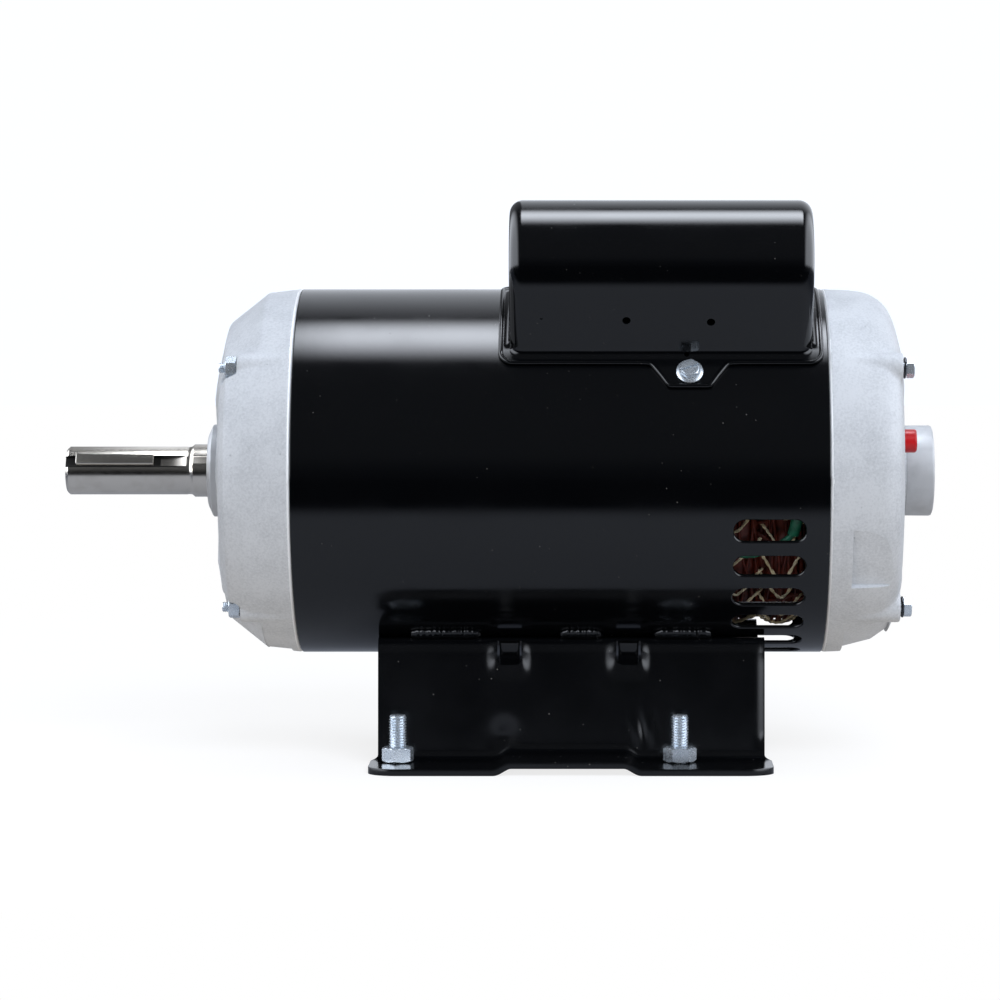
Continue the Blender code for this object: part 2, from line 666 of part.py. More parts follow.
def build_rear_bell(axis):
    """Cast bell at the rear, domed, with the closed bearing hub and the button hole."""
    pocket = REAR_BEARING_OUTER / 2 + FIT
    hub = pocket + HUB_WALL
    hub_depth = REAR_BEARING_FRONT - REAR_JOINT - REAR_BEARING_WIDTH / 3
    neck = REAR_HUB_RADIUS - REAR_HUB_NECK
    end = REAR_DEPTH + REAR_HUB_PROUD
    nose = [(REAR_DEPTH, hub + HUB_FILLET), (REAR_DEPTH, neck), (REAR_DEPTH + REAR_HUB_NECK, neck),
            (REAR_DEPTH + REAR_HUB_NECK, REAR_HUB_RADIUS), (end - HUB_CHAMFER, REAR_HUB_RADIUS),
            (end, REAR_HUB_RADIUS - HUB_CHAMFER), (end, 0.0), (REAR_POCKET, 0.0), (REAR_POCKET, pocket),
            (hub_depth, pocket), (hub_depth, hub), (REAR_DEPTH - BELL_WALL, hub + HUB_FILLET)]
    low = bell_section(REAR_DEPTH, REAR_LOW, nose, REAR_LOW_INSIDE)
    flank = bell_section(REAR_DEPTH, REAR_FLANK, nose, REAR_FLANK_INSIDE)
    form = lofted(bell_rings(low, flank, REAR_JOINT, 1), True)
    bell = node("rear_end_bell", form, "cast_aluminium", axis)
    plate_back = SWITCH_PLATE_BACK - REAR_JOINT + FIT
    post_end = REAR_DEPTH - BELL_WALL
    posts = [round_bar(SWITCH_POST_RADIUS, plate_back, post_end, BOSS_SIDES,
                       axial_place(REAR_JOINT, SWITCH_POST_CIRCLE, angle)) for angle in SWITCH_POST_ANGLES]
    shape(bell, 'UNION', merged(posts))
    finish_bell(bell, REAR_JOINT, 1, REAR_SEAT)
    shape(bell, 'DIFFERENCE', ledge_cut())
    hole = BUTTON_DIAMETER / 2 + FIT
    shape(bell, 'DIFFERENCE', round_bar(hole, REAR_DEPTH / 2, 2 * REAR_DEPTH, RING_SIDES, button_place()))


def ledge_cut():
    """Wedge cut on the near flank of the rear bell, deepest at its lower ledge."""
    outer = -SHELL_RADIUS * 1.2
    top = -math.sqrt(SHELL_RADIUS ** 2 - LEDGE_TOP ** 2) + LEDGE_TOP_DEPTH
    bottom = -math.sqrt(SHELL_RADIUS ** 2 - LEDGE_BOTTOM ** 2) + LEDGE_DEPTH
    foot = LEDGE_BOTTOM - LEDGE_SLOPE * (bottom - outer)
    outline = [(outer, LEDGE_TOP), (top, LEDGE_TOP), (bottom, LEDGE_BOTTOM), (outer, foot)]
    return prism([outline], REAR_JOINT + LEDGE_START, REAR_JOINT + 2 * REAR_DEPTH, along_x())


def button_place():
    """Matrix on the button's axis at the rear joint, local Z along the shaft."""
    radius = math.hypot(BUTTON_SIDE, BUTTON_RISE)
    return axial_place(REAR_JOINT, radius, math.degrees(math.atan2(BUTTON_RISE, BUTTON_SIDE)))


def build_through_bolts(axis):
    """Long bolts with lock washers at the rear and nuts at the drive end."""
    washer_face = REAR_JOINT + REAR_SEAT + FIT
    head_face = washer_face + LOCK_WASHER_THICKNESS + FIT
    nut_face = DRIVE_JOINT - DRIVE_SEAT - FIT
    tip = nut_face - BOLT_NUT_HEIGHT - BOLT_TIP
    nut_hole = circle(BOLT_DIAMETER / 2 + FIT, HOLE_SIDES)
    washer = [circle(LOCK_WASHER_DIAMETER / 2, BOSS_SIDES), nut_hole]
    nut = [hexagon(BOLT_NUT_ACROSS), nut_hole]
    head = [hexagon(BOLT_HEAD_ACROSS)]
    for index, angle in enumerate(bolt_angles(), start=1):
        place = axial_place(0.0, BOLT_CIRCLE, angle)
        rod = round_bar(BOLT_DIAMETER / 2, tip, head_face + BOLT_HEAD_HEIGHT / 2, HOLE_SIDES, place)
        bolt = node(f"through_bolt_{index}", rod, "zinc_plate", axis)
        shape(bolt, 'UNION', prism(head, head_face, head_face + BOLT_HEAD_HEIGHT, place))
        ring = prism(washer, washer_face, washer_face + LOCK_WASHER_THICKNESS, place)
        node(f"through_washer_{index}", ring, "spring_steel", axis)
        hex_nut = prism(nut, nut_face - BOLT_NUT_HEIGHT, nut_face, place)
        node(f"through_nut_{index}", hex_nut, "zinc_plate", axis)


def ball_ring(pitch, ball):
    """Balls of a bearing joined by the cage between them, as one swelling ring."""
    count = BALL_COUNT * len(BALL_SWELL)
    rings = []
    for step in range(count):
        size = ball * BALL_SWELL[step % len(BALL_SWELL)]
        turn = 360.0 * step / count
        rings.append([tuple(on_axis(x, pitch + rise, turn)) for x, rise in circle(size, BALL_SECTION_POINTS)])
    return lofted(rings, True)


def build_bearing(name, axis, rotor, front, bore, outer, width, cage_axis):
    """Ball bearing: outer ring on the bell, inner ring on the shaft and a ball cage between."""
    back = front + width
    outer_bore = outer / 2 - BEARING_RING
    inner_outer = bore / 2 + BEARING_RING
    rings = {"outer_ring": (outer / 2, outer_bore, axis), "inner_ring": (inner_outer, bore / 2, rotor)}
    for part, (large, small, parent) in rings.items():
        section = [(front, large), (back, large), (back, small), (front, small)]
        node(f"{name}_bearing_{part}", turned(section, RING_SIDES), "turned_steel", parent)
    race = outer_bore * math.cos(math.pi / RING_SIDES)
    pitch = (race + inner_outer) / 2
    ball = (race - inner_outer) / 2 - FIT
    middle = empty(f"{name}_cage_axis", (front + width / 2, 0.0, 0.0), cage_axis)
    node(f"{name}_ball_cage", ball_ring(pitch, ball), "turned_steel", middle)


def build_wave_washer(axis):
    """Wave washer between the rear bearing and the end of its pocket."""
    large = REAR_BEARING_OUTER / 2 - FIT
    small = large - BEARING_RING
    sides = 6 * WAVE_COUNT
    rings = []
    for rise, radius in ((0.0, small), (0.0, large), (WAVE_THICKNESS, large), (WAVE_THICKNESS, small)):
        ring = []
        for step in range(sides):
            turn = math.tau * step / sides
            wave = (WAVE_HEIGHT - WAVE_THICKNESS) * (0.5 + 0.5 * math.cos(WAVE_COUNT * turn))
            x = WAVE_BACK - WAVE_HEIGHT + rise + wave
            ring.append((x, radius * math.cos(turn), radius * math.sin(turn)))
        rings.append(ring)
    node("wave_washer", lofted(rings, True), "spring_steel", axis)


def build_shaft(rotor):
    """Stepped shaft with an open keyway, and the key in it."""
    main = SHAFT_DIAMETER / 2
    seat = DRIVE_BEARING_BORE / 2 - FIT
    rear = REAR_BEARING_BORE / 2 - FIT
    seat_start = SHAFT_TIP + SHAFT_LENGTH
    seat_end = DRIVE_BEARING_BACK + FIT
    governor_start = GOVERNOR_BACK - GOVERNOR_PLATE_THICKNESS - FIT
    profile = [(SHAFT_TIP, 0.0), (SHAFT_TIP, main - SHAFT_CHAMFER), (SHAFT_TIP + SHAFT_CHAMFER, main),
               (seat_start, main), (seat_start, seat), (seat_end, seat), (seat_end, ROTOR_SEAT_RADIUS),
               (governor_start, ROTOR_SEAT_RADIUS), (governor_start, GOVERNOR_SEAT_RADIUS),
               (COLLAR_BACK + FIT, GOVERNOR_SEAT_RADIUS), (COLLAR_BACK + FIT, REAR_STEP_RADIUS),
               (REAR_BEARING_FRONT - FIT, REAR_STEP_RADIUS), (REAR_BEARING_FRONT - FIT, rear),
               (SHAFT_END - SHAFT_CHAMFER, rear), (SHAFT_END, rear - SHAFT_CHAMFER), (SHAFT_END, 0.0)]
    shaft = node("shaft", turned(profile, 20, closed=False), "turned_steel", rotor)
    floor = main - KEY_SINK
    run_end = SHAFT_TIP + KEYWAY_LENGTH
    cutter = []
    sweep = math.acos(1.0 - 2 * KEY_SINK / KEYWAY_CUTTER_RADIUS)
    for step in range(7):
        angle = sweep * step / 6
        cutter.append((run_end + KEYWAY_CUTTER_RADIUS * math.sin(angle),
                       floor + KEYWAY_CUTTER_RADIUS * (1.0 - math.cos(angle))))
    side = [(SHAFT_TIP - main, floor), *cutter, (SHAFT_TIP - main, floor + 2 * KEY_SINK)]
    stand = radial_place(0.0, 0.0, KEY_ANGLE) @ Matrix.Rotation(math.pi / 2, 4, 'X')
    half = KEY_WIDTH / 2
    shape(shaft, 'DIFFERENCE', prism([side], -half - KEY_FIT, half + KEY_FIT, stand))
    key_start = SHAFT_TIP + KEY_FROM_TIP
    middle = (key_start + KEY_LENGTH / 2, floor + KEY_FIT + half)
    key = prism([box_outline(KEY_LENGTH, KEY_WIDTH, middle)], -half, half, stand)
    node("shaft_key", key, "turned_steel", rotor)


def stator_outline():
    """Outer and inner outlines of a stator lamination, with bolt notches and winding slots."""
    outer = []
    radius = SHELL_BORE - FIT
    notch = BOLT_DIAMETER / 2 + 2 * HOLE_CLEARANCE
    floor = BOLT_CIRCLE - notch
    spread = math.degrees(math.asin(notch / radius))
    arc_steps = 8
    for angle in bolt_angles():
        for radial, side in ((radius * math.cos(math.radians(spread)), -notch), (floor, -notch),
                             (floor, notch), (radius * math.cos(math.radians(spread)), notch)):
            y, z = polar(1.0, angle)
            outer.append((y * radial + z * side, z * radial - y * side))
        span = 360.0 / BOLT_COUNT - 2 * spread
        for step in range(1, arc_steps):
            outer.append(polar(radius, angle + spread + span * step / arc_steps))
    inner = []
    half = SLOT_WIDTH / 2
    for index in range(SLOT_COUNT):
        y, z = polar(1.0, 360.0 * index / SLOT_COUNT)
        mouth = math.sqrt(STATOR_BORE_RADIUS ** 2 - half ** 2)
        bottom = STATOR_BORE_RADIUS + SLOT_DEPTH
        for radial, side in ((mouth, -half), (bottom, -half), (bottom, half), (mouth, half)):
            inner.append((y * radial + z * side, z * radial - y * side))
    return [outer, inner]


def turns_ring(centre):
    """Bundle of end turns, an oval ring round the axis."""
    section = []
    for step in range(TURNS_POINTS):
        angle = math.tau * step / TURNS_POINTS
        section.append((centre + TURNS_HALF_LENGTH * math.cos(angle),
                        TURNS_RADIUS + TURNS_HALF_HEIGHT * math.sin(angle)))
    return turned(section, SLOT_COUNT)


def build_stator(axis):
    """Stator stack and the winding that fills its slots."""
    stack = prism(stator_outline(), STACK_START, STACK_END, along_x())
    node("stator_core", stack, "lamination_steel", axis)
    drive_centre = STACK_START - TURNS_STANDOFF - TURNS_HALF_LENGTH
    winding = node("stator_winding", turns_ring(TURNS_CENTRE), "enamelled_wire", axis)
    outline = [box_outline(COIL_HEIGHT, SLOT_WIDTH - 2 * FIT)]
    low, high = drive_centre + TURNS_HALF_LENGTH / 2, TURNS_CENTRE - TURNS_HALF_LENGTH / 2
    sides = [prism(outline, low, high, axial_place(0.0, TURNS_RADIUS, 360.0 * index / SLOT_COUNT))
             for index in range(SLOT_COUNT)]
    shape(winding, 'UNION', turns_ring(drive_centre))
    shape(winding, 'UNION', merged(sides))


def oval_walk(half_length, half_height, start, stride, count):
    """Angles that go round an oval backwards in equal strides."""
    angles = [start]
    for _ in range(count):
        angle = angles[-1]
        speed = math.hypot(half_length * math.sin(angle), half_height * math.cos(angle))
        angles.append(angle - stride / speed)
    return angles


def wire_path():
    """Outer wire of the rear end turns: out of the stack, round and round, on to the switch plate."""
    half_length = TURNS_HALF_LENGTH + FIT + WIRE_DIAMETER / 2
    half_height = TURNS_HALF_HEIGHT + FIT + WIRE_DIAMETER / 2
    step_angle = 360.0 / WIRE_POINTS
    walk = oval_walk(half_length, half_height, math.radians(WIRE_START), WIRE_PITCH / WIRE_POINTS,
                     WIRE_TURNS * WIRE_POINTS)
    turns = []
    for step, along in enumerate(walk):
        x = TURNS_CENTRE + half_length * math.cos(along)
        radius = TURNS_RADIUS + half_height * math.sin(along)
        turns.append(on_axis(x, radius / math.cos(math.pi / WIRE_POINTS), WIRE_ANGLE + step_angle * step))
    lead_radius = TURNS_RADIUS + half_height + WIRE_DIAMETER / 2
    lead_in = [on_axis(STACK_END + reach, lead_radius, WIRE_ANGLE - step_angle)
               for reach in (FIT, FIT + 1.5 * WIRE_DIAMETER)]
    last = turns[-1]
    plate = SWITCH_PLATE_FRONT - FIT
    lead_out = [on_axis(x, math.hypot(last.y, last.z), WIRE_ANGLE + step_angle / 2)
                for x in (last.x + 1.5 * WIRE_DIAMETER, plate - WIRE_DIAMETER, plate)]
    return lead_in + turns + lead_out


def lacing_path():
    """Lacing cord round the rear end turns between the coil sides, its ends square to the bundle."""
    half_length = TURNS_HALF_LENGTH + LACING_OFFSET
    half_height = TURNS_HALF_HEIGHT + LACING_OFFSET
    count = LACING_WRAPS * LACING_POINTS
    gap = 180.0 / SLOT_COUNT
    face = TURNS_CENTRE - TURNS_HALF_LENGTH - FIT
    points = [on_axis(face - reach, TURNS_RADIUS, gap) for reach in (0.0, 1.2 * LACING_DIAMETER)]
    for step in range(1, count - 2):
        along = math.tau * step / LACING_POINTS
        x = TURNS_CENTRE - half_length * math.cos(along)
        points.append(on_axis(x, TURNS_RADIUS + half_height * math.sin(along), gap + 360.0 * step / count))
    inside = (TURNS_RADIUS - TURNS_HALF_HEIGHT) * math.cos(math.pi / SLOT_COUNT) - FIT
    last = gap + 360.0 * (count - 2) / count
    return points + [on_axis(TURNS_CENTRE, inside - reach, last) for reach in (1.2 * LACING_DIAMETER, 0.0)]


def build_wound_forms(axis):
    """Outer layer of wire and the lacing over the rear end turns."""
    wire = wire_path()
    tube("rear_winding_layer", wire, WIRE_DIAMETER, "enamelled_wire", axis)
    gap = least_self_gap(wire, WIRE_DIAMETER, WIRE_POINTS // 2)
    print(f"rear_winding_layer least self gap {gap / MM:.2f} mm")
    lacing = lacing_path()
    tube("winding_lacing", lacing, LACING_DIAMETER, "lacing_cord", axis)
    gap = least_self_gap(lacing, LACING_DIAMETER, LACING_POINTS // 2)
    print(f"winding_lacing least self gap {gap / MM:.2f} mm")


def build_rotor(rotor):
    """Rotor stack and its cast cage with fan blades."""
    radius = STATOR_BORE_RADIUS - AIR_GAP
    bore = ROTOR_SEAT_RADIUS + FIT
    half = CAGE_BAR_WIDTH / 2 + FIT
    mouth = math.sqrt(radius ** 2 - half ** 2)
    floor = radius - CAGE_BAR_DEPTH - FIT
    outer = []
    for index in range(CAGE_BARS):
        y, z = polar(1.0, 360.0 * index / CAGE_BARS)
        for radial, side in ((mouth, -half), (floor, -half), (floor, half), (mouth, half)):
            outer.append((y * radial + z * side, z * radial - y * side))
    stack = prism([outer, circle(bore, RING_SIDES)], STACK_START, STACK_END, along_x())
    node("rotor_core", stack, "lamination_steel", rotor)
    top = radius - CAGE_RING_INSET
    bottom = top - CAGE_RING_HEIGHT
    rings = []
    ends = ((STACK_START - FIT - CAGE_RING_LENGTH, STACK_START - FIT),
            (STACK_END + FIT, STACK_END + FIT + CAGE_RING_LENGTH))
    for start, end in ends:
        rings.append(turned([(start, top), (end, top), (end, bottom), (start, bottom)], RING_SIDES))
    cage = node("rotor_cage", rings[0], "cast_aluminium", rotor)
    shape(cage, 'UNION', rings[1])
    bars = []
    bar = CAGE_BAR_DEPTH - 4 * FIT
    low, high = ends[0][0] + CAGE_RING_LENGTH / 2, ends[1][1] - CAGE_RING_LENGTH / 2
    for index in range(CAGE_BARS):
        place = axial_place(0.0, floor + FIT + bar / 2, 360.0 * index / CAGE_BARS)
        bars.append(prism([box_outline(bar, CAGE_BAR_WIDTH)], low, high, place))
    shape(cage, 'UNION', merged(bars))
    blades = []
    for index in range(BLADE_COUNT):
        place = axial_place(0.0, bottom + CAGE_RING_HEIGHT / 2, 360.0 * (index + 0.5) / BLADE_COUNT)
        outline = box_outline(BLADE_HEIGHT, BLADE_THICKNESS)
        blades.append(prism([outline], ends[0][0] - BLADE_LENGTH, low, place))
        blades.append(prism([outline], high, ends[1][1] + BLADE_LENGTH, place))
    shape(cage, 'UNION', merged(blades))


def build_governor(rotor):
    """Governor plate on the shaft, two pivoted weights and the collar they slide."""
    front = GOVERNOR_BACK - GOVERNOR_PLATE_THICKNESS
    bore = GOVERNOR_SEAT_RADIUS + FIT
    disc = [(front, GOVERNOR_PLATE_RADIUS), (GOVERNOR_BACK, GOVERNOR_PLATE_RADIUS), (GOVERNOR_BACK, bore),
            (front, bore)]
    plate = node("governor_plate", turned(disc, RING_SIDES), "zinc_plate", rotor)
    ears, holes = [], []
    ear_gap = WEIGHT_WIDTH / 2 + FIT
    ear_end = GROOVE_CENTRE + 2.5 * PIN_RADIUS
    for angle in WEIGHT_ANGLES:
        place = axial_place(0.0, WEIGHT_PIVOT_RADIUS, angle)
        for side in (-1, 1):
            middle = side * (ear_gap + EAR_THICKNESS / 2)
            outline = box_outline(5 * PIN_RADIUS, EAR_THICKNESS, (0.0, middle))
            ears.append(prism([outline], GOVERNOR_BACK - GOVERNOR_PLATE_THICKNESS / 2, ear_end, place))
        pivot = place @ Matrix.Translation((0, 0, GROOVE_CENTRE)) @ Matrix.Rotation(math.pi / 2, 4, 'X')
        holes.append(round_bar(PIN_RADIUS + FIT, -WEIGHT_WIDTH, WEIGHT_WIDTH, HOLE_SIDES, pivot))
    shape(plate, 'UNION', merged(ears))
    shape(plate, 'DIFFERENCE', merged(holes))
    for index, angle in enumerate(WEIGHT_ANGLES, start=1):
        build_weight(rotor, index, angle, ear_gap + EAR_THICKNESS)
    sleeve = bore + COLLAR_WALL
    groove_end = COLLAR_FRONT + COLLAR_GROOVE_WIDTH
    rib_end = groove_end + COLLAR_RIB
    flange = COLLAR_LENGTH - COLLAR_FLANGE
    section = [(0.0, COLLAR_GROOVE_RADIUS), (COLLAR_FRONT, COLLAR_GROOVE_RADIUS), (COLLAR_FRONT, sleeve),
               (groove_end, sleeve), (groove_end, COLLAR_GROOVE_RADIUS), (rib_end, COLLAR_GROOVE_RADIUS),
               (rib_end, sleeve), (flange, sleeve), (flange, COLLAR_FLANGE_RADIUS),
               (COLLAR_LENGTH, COLLAR_FLANGE_RADIUS), (COLLAR_LENGTH, bore), (0.0, bore)]
    slide = empty("governor_slide", (COLLAR_START, 0.0, 0.0), rotor)
    node("governor_collar", turned(section, RING_SIDES), "black_plastic", slide)


def build_weight(rotor, index, angle, pin_half):
    """Governor weight on its pin, with the finger that moves the collar."""
    pivot = empty(f"weight_pivot_{index}", on_axis(GROOVE_CENTRE, WEIGHT_PIVOT_RADIUS, angle), rotor)
    turn = axial_place(0.0, 0.0, angle)
    block = prism([box_outline(WEIGHT_THICKNESS, WEIGHT_WIDTH)], -WEIGHT_LENGTH, FINGER_THICKNESS / 2, turn)
    weight = node(f"governor_weight_{index}", block, "zinc_plate", pivot)
    collar_gap = 2 * FIT
    tip = GOVERNOR_SEAT_RADIUS + FIT + COLLAR_WALL + collar_gap - WEIGHT_PIVOT_RADIUS
    middle = (tip / 2, 0.0)
    half = FINGER_THICKNESS / 2
    finger = prism([box_outline(-tip, FINGER_WIDTH, middle)], -half, half - FIT / 3, turn)
    cross = turn @ Matrix.Rotation(math.pi / 2, 4, 'X')
    pin = round_bar(PIN_RADIUS, -pin_half, pin_half, HOLE_SIDES, cross)
    shape(weight, 'UNION', finger)
    shape(weight, 'UNION', pin)


def build_start_switch(axis):
    """Switch plate on its posts, its lever and the terminal board."""
    outline = [circle(SWITCH_PLATE_RADIUS, 2 * RING_SIDES), circle(SWITCH_PLATE_HOLE, RING_SIDES)]
    disc = prism(outline, SWITCH_PLATE_FRONT, SWITCH_PLATE_BACK, along_x())
    plate = node("start_switch_plate", disc, "brown_board", axis)
    place = axial_place(0.0, LEVER_PIVOT_RADIUS, LEVER_ANGLE)
    pivot_x = SWITCH_PLATE_FRONT - LEVER_PIVOT_GAP
    ear_end = SWITCH_PLATE_FRONT + SWITCH_PLATE_THICKNESS / 2
    gap = LEVER_WIDTH / 2 + FIT
    ears = []
    for side in (-1, 1):
        outline = box_outline(5 * PIN_RADIUS, EAR_THICKNESS, (0.0, side * (gap + EAR_THICKNESS / 2)))
        ears.append(prism([outline], pivot_x - 2.5 * PIN_RADIUS, ear_end, place))
    pin_turn = Matrix.Rotation(math.pi / 2, 4, 'X')
    hole = round_bar(PIN_RADIUS + FIT, -2 * LEVER_WIDTH, 2 * LEVER_WIDTH, HOLE_SIDES,
                     place @ Matrix.Translation((0, 0, pivot_x)) @ pin_turn)
    shape(plate, 'UNION', merged(ears))
    shape(plate, 'DIFFERENCE', hole)
    build_lever(axis, pivot_x, gap + EAR_THICKNESS, pin_turn)
    board_radius = (SWITCH_PLATE_HOLE + SWITCH_PLATE_RADIUS) / 2
    place = axial_place(SWITCH_PLATE_BACK, board_radius, TERMINAL_ANGLE)
    block = prism([box_outline(TERMINAL_WIDTH, TERMINAL_LENGTH)], FIT, FIT + TERMINAL_HEIGHT, place)
    board = node("terminal_board", block, "black_plastic", axis)
    blades = []
    for side in (-1, 1):
        outline = box_outline(TERMINAL_TAB_SIZE, TERMINAL_TAB_THICKNESS, (0.0, side * TERMINAL_LENGTH / 4))
        blades.append(prism([outline], TERMINAL_HEIGHT / 2, TERMINAL_HEIGHT + TERMINAL_TAB_SIZE, place))
    shape(board, 'UNION', merged(blades))


def build_lever(axis, pivot_x, pin_half, pin_turn):
    """Lever of the start switch, its nose on the collar of the governor."""
    pivot = empty("lever_pivot", on_axis(pivot_x, LEVER_PIVOT_RADIUS, LEVER_ANGLE), axis)
    turn = axial_place(0.0, 0.0, LEVER_ANGLE)
    arm = box_outline(LEVER_REACH + 2 * PIN_RADIUS, LEVER_WIDTH, (-LEVER_REACH / 2 + PIN_RADIUS, 0.0))
    half = LEVER_THICKNESS / 2
    lever = node("switch_lever", prism([arm], -half, half, turn), "spring_steel", pivot)
    nose_tip = COLLAR_BACK + FIT - pivot_x
    nose = box_outline(4 * PIN_RADIUS, LEVER_WIDTH / 2, (-LEVER_REACH + 2.5 * PIN_RADIUS, 0.0))
    shape(lever, 'UNION', prism([nose], nose_tip, 0.0, turn))
    shape(lever, 'UNION', round_bar(PIN_RADIUS, -pin_half, pin_half, HOLE_SIDES, turn @ pin_turn))


def build_protector(axis):
    """Overload protector on the switch plate and the reset button through the bell."""
    place = button_place()
    low = SWITCH_PLATE_BACK - REAR_JOINT + FIT
    flange_top = REAR_DEPTH - BELL_WALL - BUTTON_TO_WALL
    flange_low = flange_top - BUTTON_FLANGE
    high = flange_low - BUTTON_TRAVEL - FIT
    body = round_bar(PROTECTOR_RADIUS, low, high, RING_SIDES, place)
    protector = node("overload_protector", body, "black_plastic", axis)
    stem_low = high - BUTTON_TRAVEL - BUTTON_STEM_ROOM
    stem_hole = round_bar(BUTTON_STEM_RADIUS + FIT, stem_low, high + FIT, HOLE_SIDES, place)
    shape(protector, 'DIFFERENCE', stem_hole)
    slide = empty("button_slide", (place @ Matrix.Translation((0, 0, flange_low))).translation, axis)
    top = REAR_DEPTH + BUTTON_PROUD - flange_low
    radius = BUTTON_DIAMETER / 2
    rim = radius + BUTTON_FLANGE
    stem = -BUTTON_TRAVEL - 2 * FIT
    profile = [(stem, 0.0), (stem, BUTTON_STEM_RADIUS), (0.0, BUTTON_STEM_RADIUS), (0.0, rim),
               (BUTTON_FLANGE, rim), (BUTTON_FLANGE, radius), (top - BUTTON_EDGE, radius),
               (top, radius - BUTTON_EDGE), (top, 0.0)]
    node("reset_button", turned(profile, RING_SIDES, closed=False), "red_plastic", slide)


def cover_frame():
    """Matrix of the cover: local Z along the shaft, local Y out from the axis."""
    outward = Vector((0.0, *polar(1.0, COVER_ANGLE)))
    along = Vector((1.0, 0.0, 0.0))
    return Matrix((outward.cross(along), outward, along)).transposed().to_4x4()


def tunnel(radius, start, end, edge):
    """Solid of the cover's arched section, its end edges rounded when an edge is given."""
    low = SHELL_RADIUS * 0.6
    steps = [(0.0, edge), (edge * 0.3, edge * 0.3), (edge, 0.0)] if edge else [(0.0, 0.0)]
    stations = [(start + back, inset) for back, inset in steps]
    stations += [(end - back, inset) for back, inset in reversed(steps)]
    rings = []
    for z, inset in stations:
        size = radius - inset
        arch = []
        for step in range(COVER_ARCH + 1):
            angle = math.pi * step / COVER_ARCH
            arch.append((size * math.cos(angle), COVER_CENTRE + size * math.sin(angle), z))
        rings.append([*arch, (-size, low, z), (size, low, z)])
    rings = [[(0.0, COVER_CENTRE, start)], *rings, [(0.0, COVER_CENTRE, end)]]
    return moved(lofted(rings, False), cover_frame())


def shell_plug(start, end, radius):
    """Solid round bar on the shaft's axis, for trimming pieces that lie on the shell."""
    return turned([(start, 0.0), (start, radius), (end, radius), (end, 0.0)], SHELL_SIDES, closed=False)


def build_cover(axis):
    """Drawn capacitor cover: lip and tabs laid on the shell, arched body and cavity."""
    end = COVER_START + COVER_LENGTH
    lip = COVER_RADIUS + COVER_LIP
    skirt = tunnel(lip, COVER_START - COVER_LIP, end + COVER_LIP, 0.0)
    cover = node("capacitor_cover", skirt, "black_enamel", axis)
    stand = cover_frame() @ Matrix(((1, 0, 0, 0), (0, 0, 1, 0), (0, 1, 0, 0), (0, 0, 0, 1)))
    tip = SHELL_RADIUS * math.sin(math.radians(TAB_ANGLE)) + TAB_MARGIN
    tabs = []
    for side in (1, -1):
        right = [(COVER_RADIUS / 2, TAB_TOP_WIDTH / 2), (lip, TAB_TOP_WIDTH / 2), (tip, TAB_TIP_WIDTH / 2)]
        outline = [(side * span, TAB_X + along) for span, along in right]
        outline += [(side * span, TAB_X - along) for span, along in reversed(right)]
        tabs.append(prism([outline], SHELL_RADIUS * 0.6, COVER_CENTRE, stand))
    shape(cover, 'UNION', merged(tabs))
    low, high = COVER_START - 3 * COVER_LIP, end + 3 * COVER_LIP
    shape(cover, 'INTERSECT', shell_plug(low, high, COVER_SEAT + COVER_WALL))
    shape(cover, 'UNION', tunnel(COVER_RADIUS, COVER_START, end, COVER_EDGE))
    shape(cover, 'DIFFERENCE', shell_plug(low - COVER_LIP, high + COVER_LIP, COVER_SEAT))
    cavity = tunnel(COVER_RADIUS - COVER_WALL, COVER_START + COVER_WALL, end - COVER_WALL, COVER_EDGE)
    shape(cover, 'DIFFERENCE', cavity)
    hole = COVER_SCREW_DIAMETER / 2 + FIT
    holes = [round_bar(hole, -COVER_LIP, COVER_LIP, HOLE_SIDES, radial_place(TAB_X, SHELL_RADIUS, angle))
             for angle in screw_angles()]
    shape(cover, 'DIFFERENCE', merged(holes))


def build_cover_screws(axis):
    """Hex washer-head screws that hold the cover."""
    seat = COVER_SEAT + COVER_WALL + FIT
    shank, flange = COVER_SCREW_DIAMETER / 2, COVER_SCREW_FLANGE / 2
    profile = [(-COVER_SCREW_LENGTH, 0.0), (-COVER_SCREW_LENGTH, shank), (0.0, shank), (0.0, flange),
               (COVER_SCREW_RIM / 2, flange), (COVER_SCREW_RIM, COVER_SCREW_ACROSS / 2),
               (COVER_SCREW_RIM, 0.0)]
    for side, angle in zip(("near", "far"), screw_angles()):
        place = radial_place(TAB_X, seat, angle)
        form = moved(turned(profile, BOSS_SIDES, closed=False), place @ upright())
        screw = node(f"cover_screw_{side}", form, "zinc_plate", axis)
        head = prism([hexagon(COVER_SCREW_ACROSS)], COVER_SCREW_RIM / 2, COVER_SCREW_HEIGHT, place)
        shape(screw, 'UNION', head)


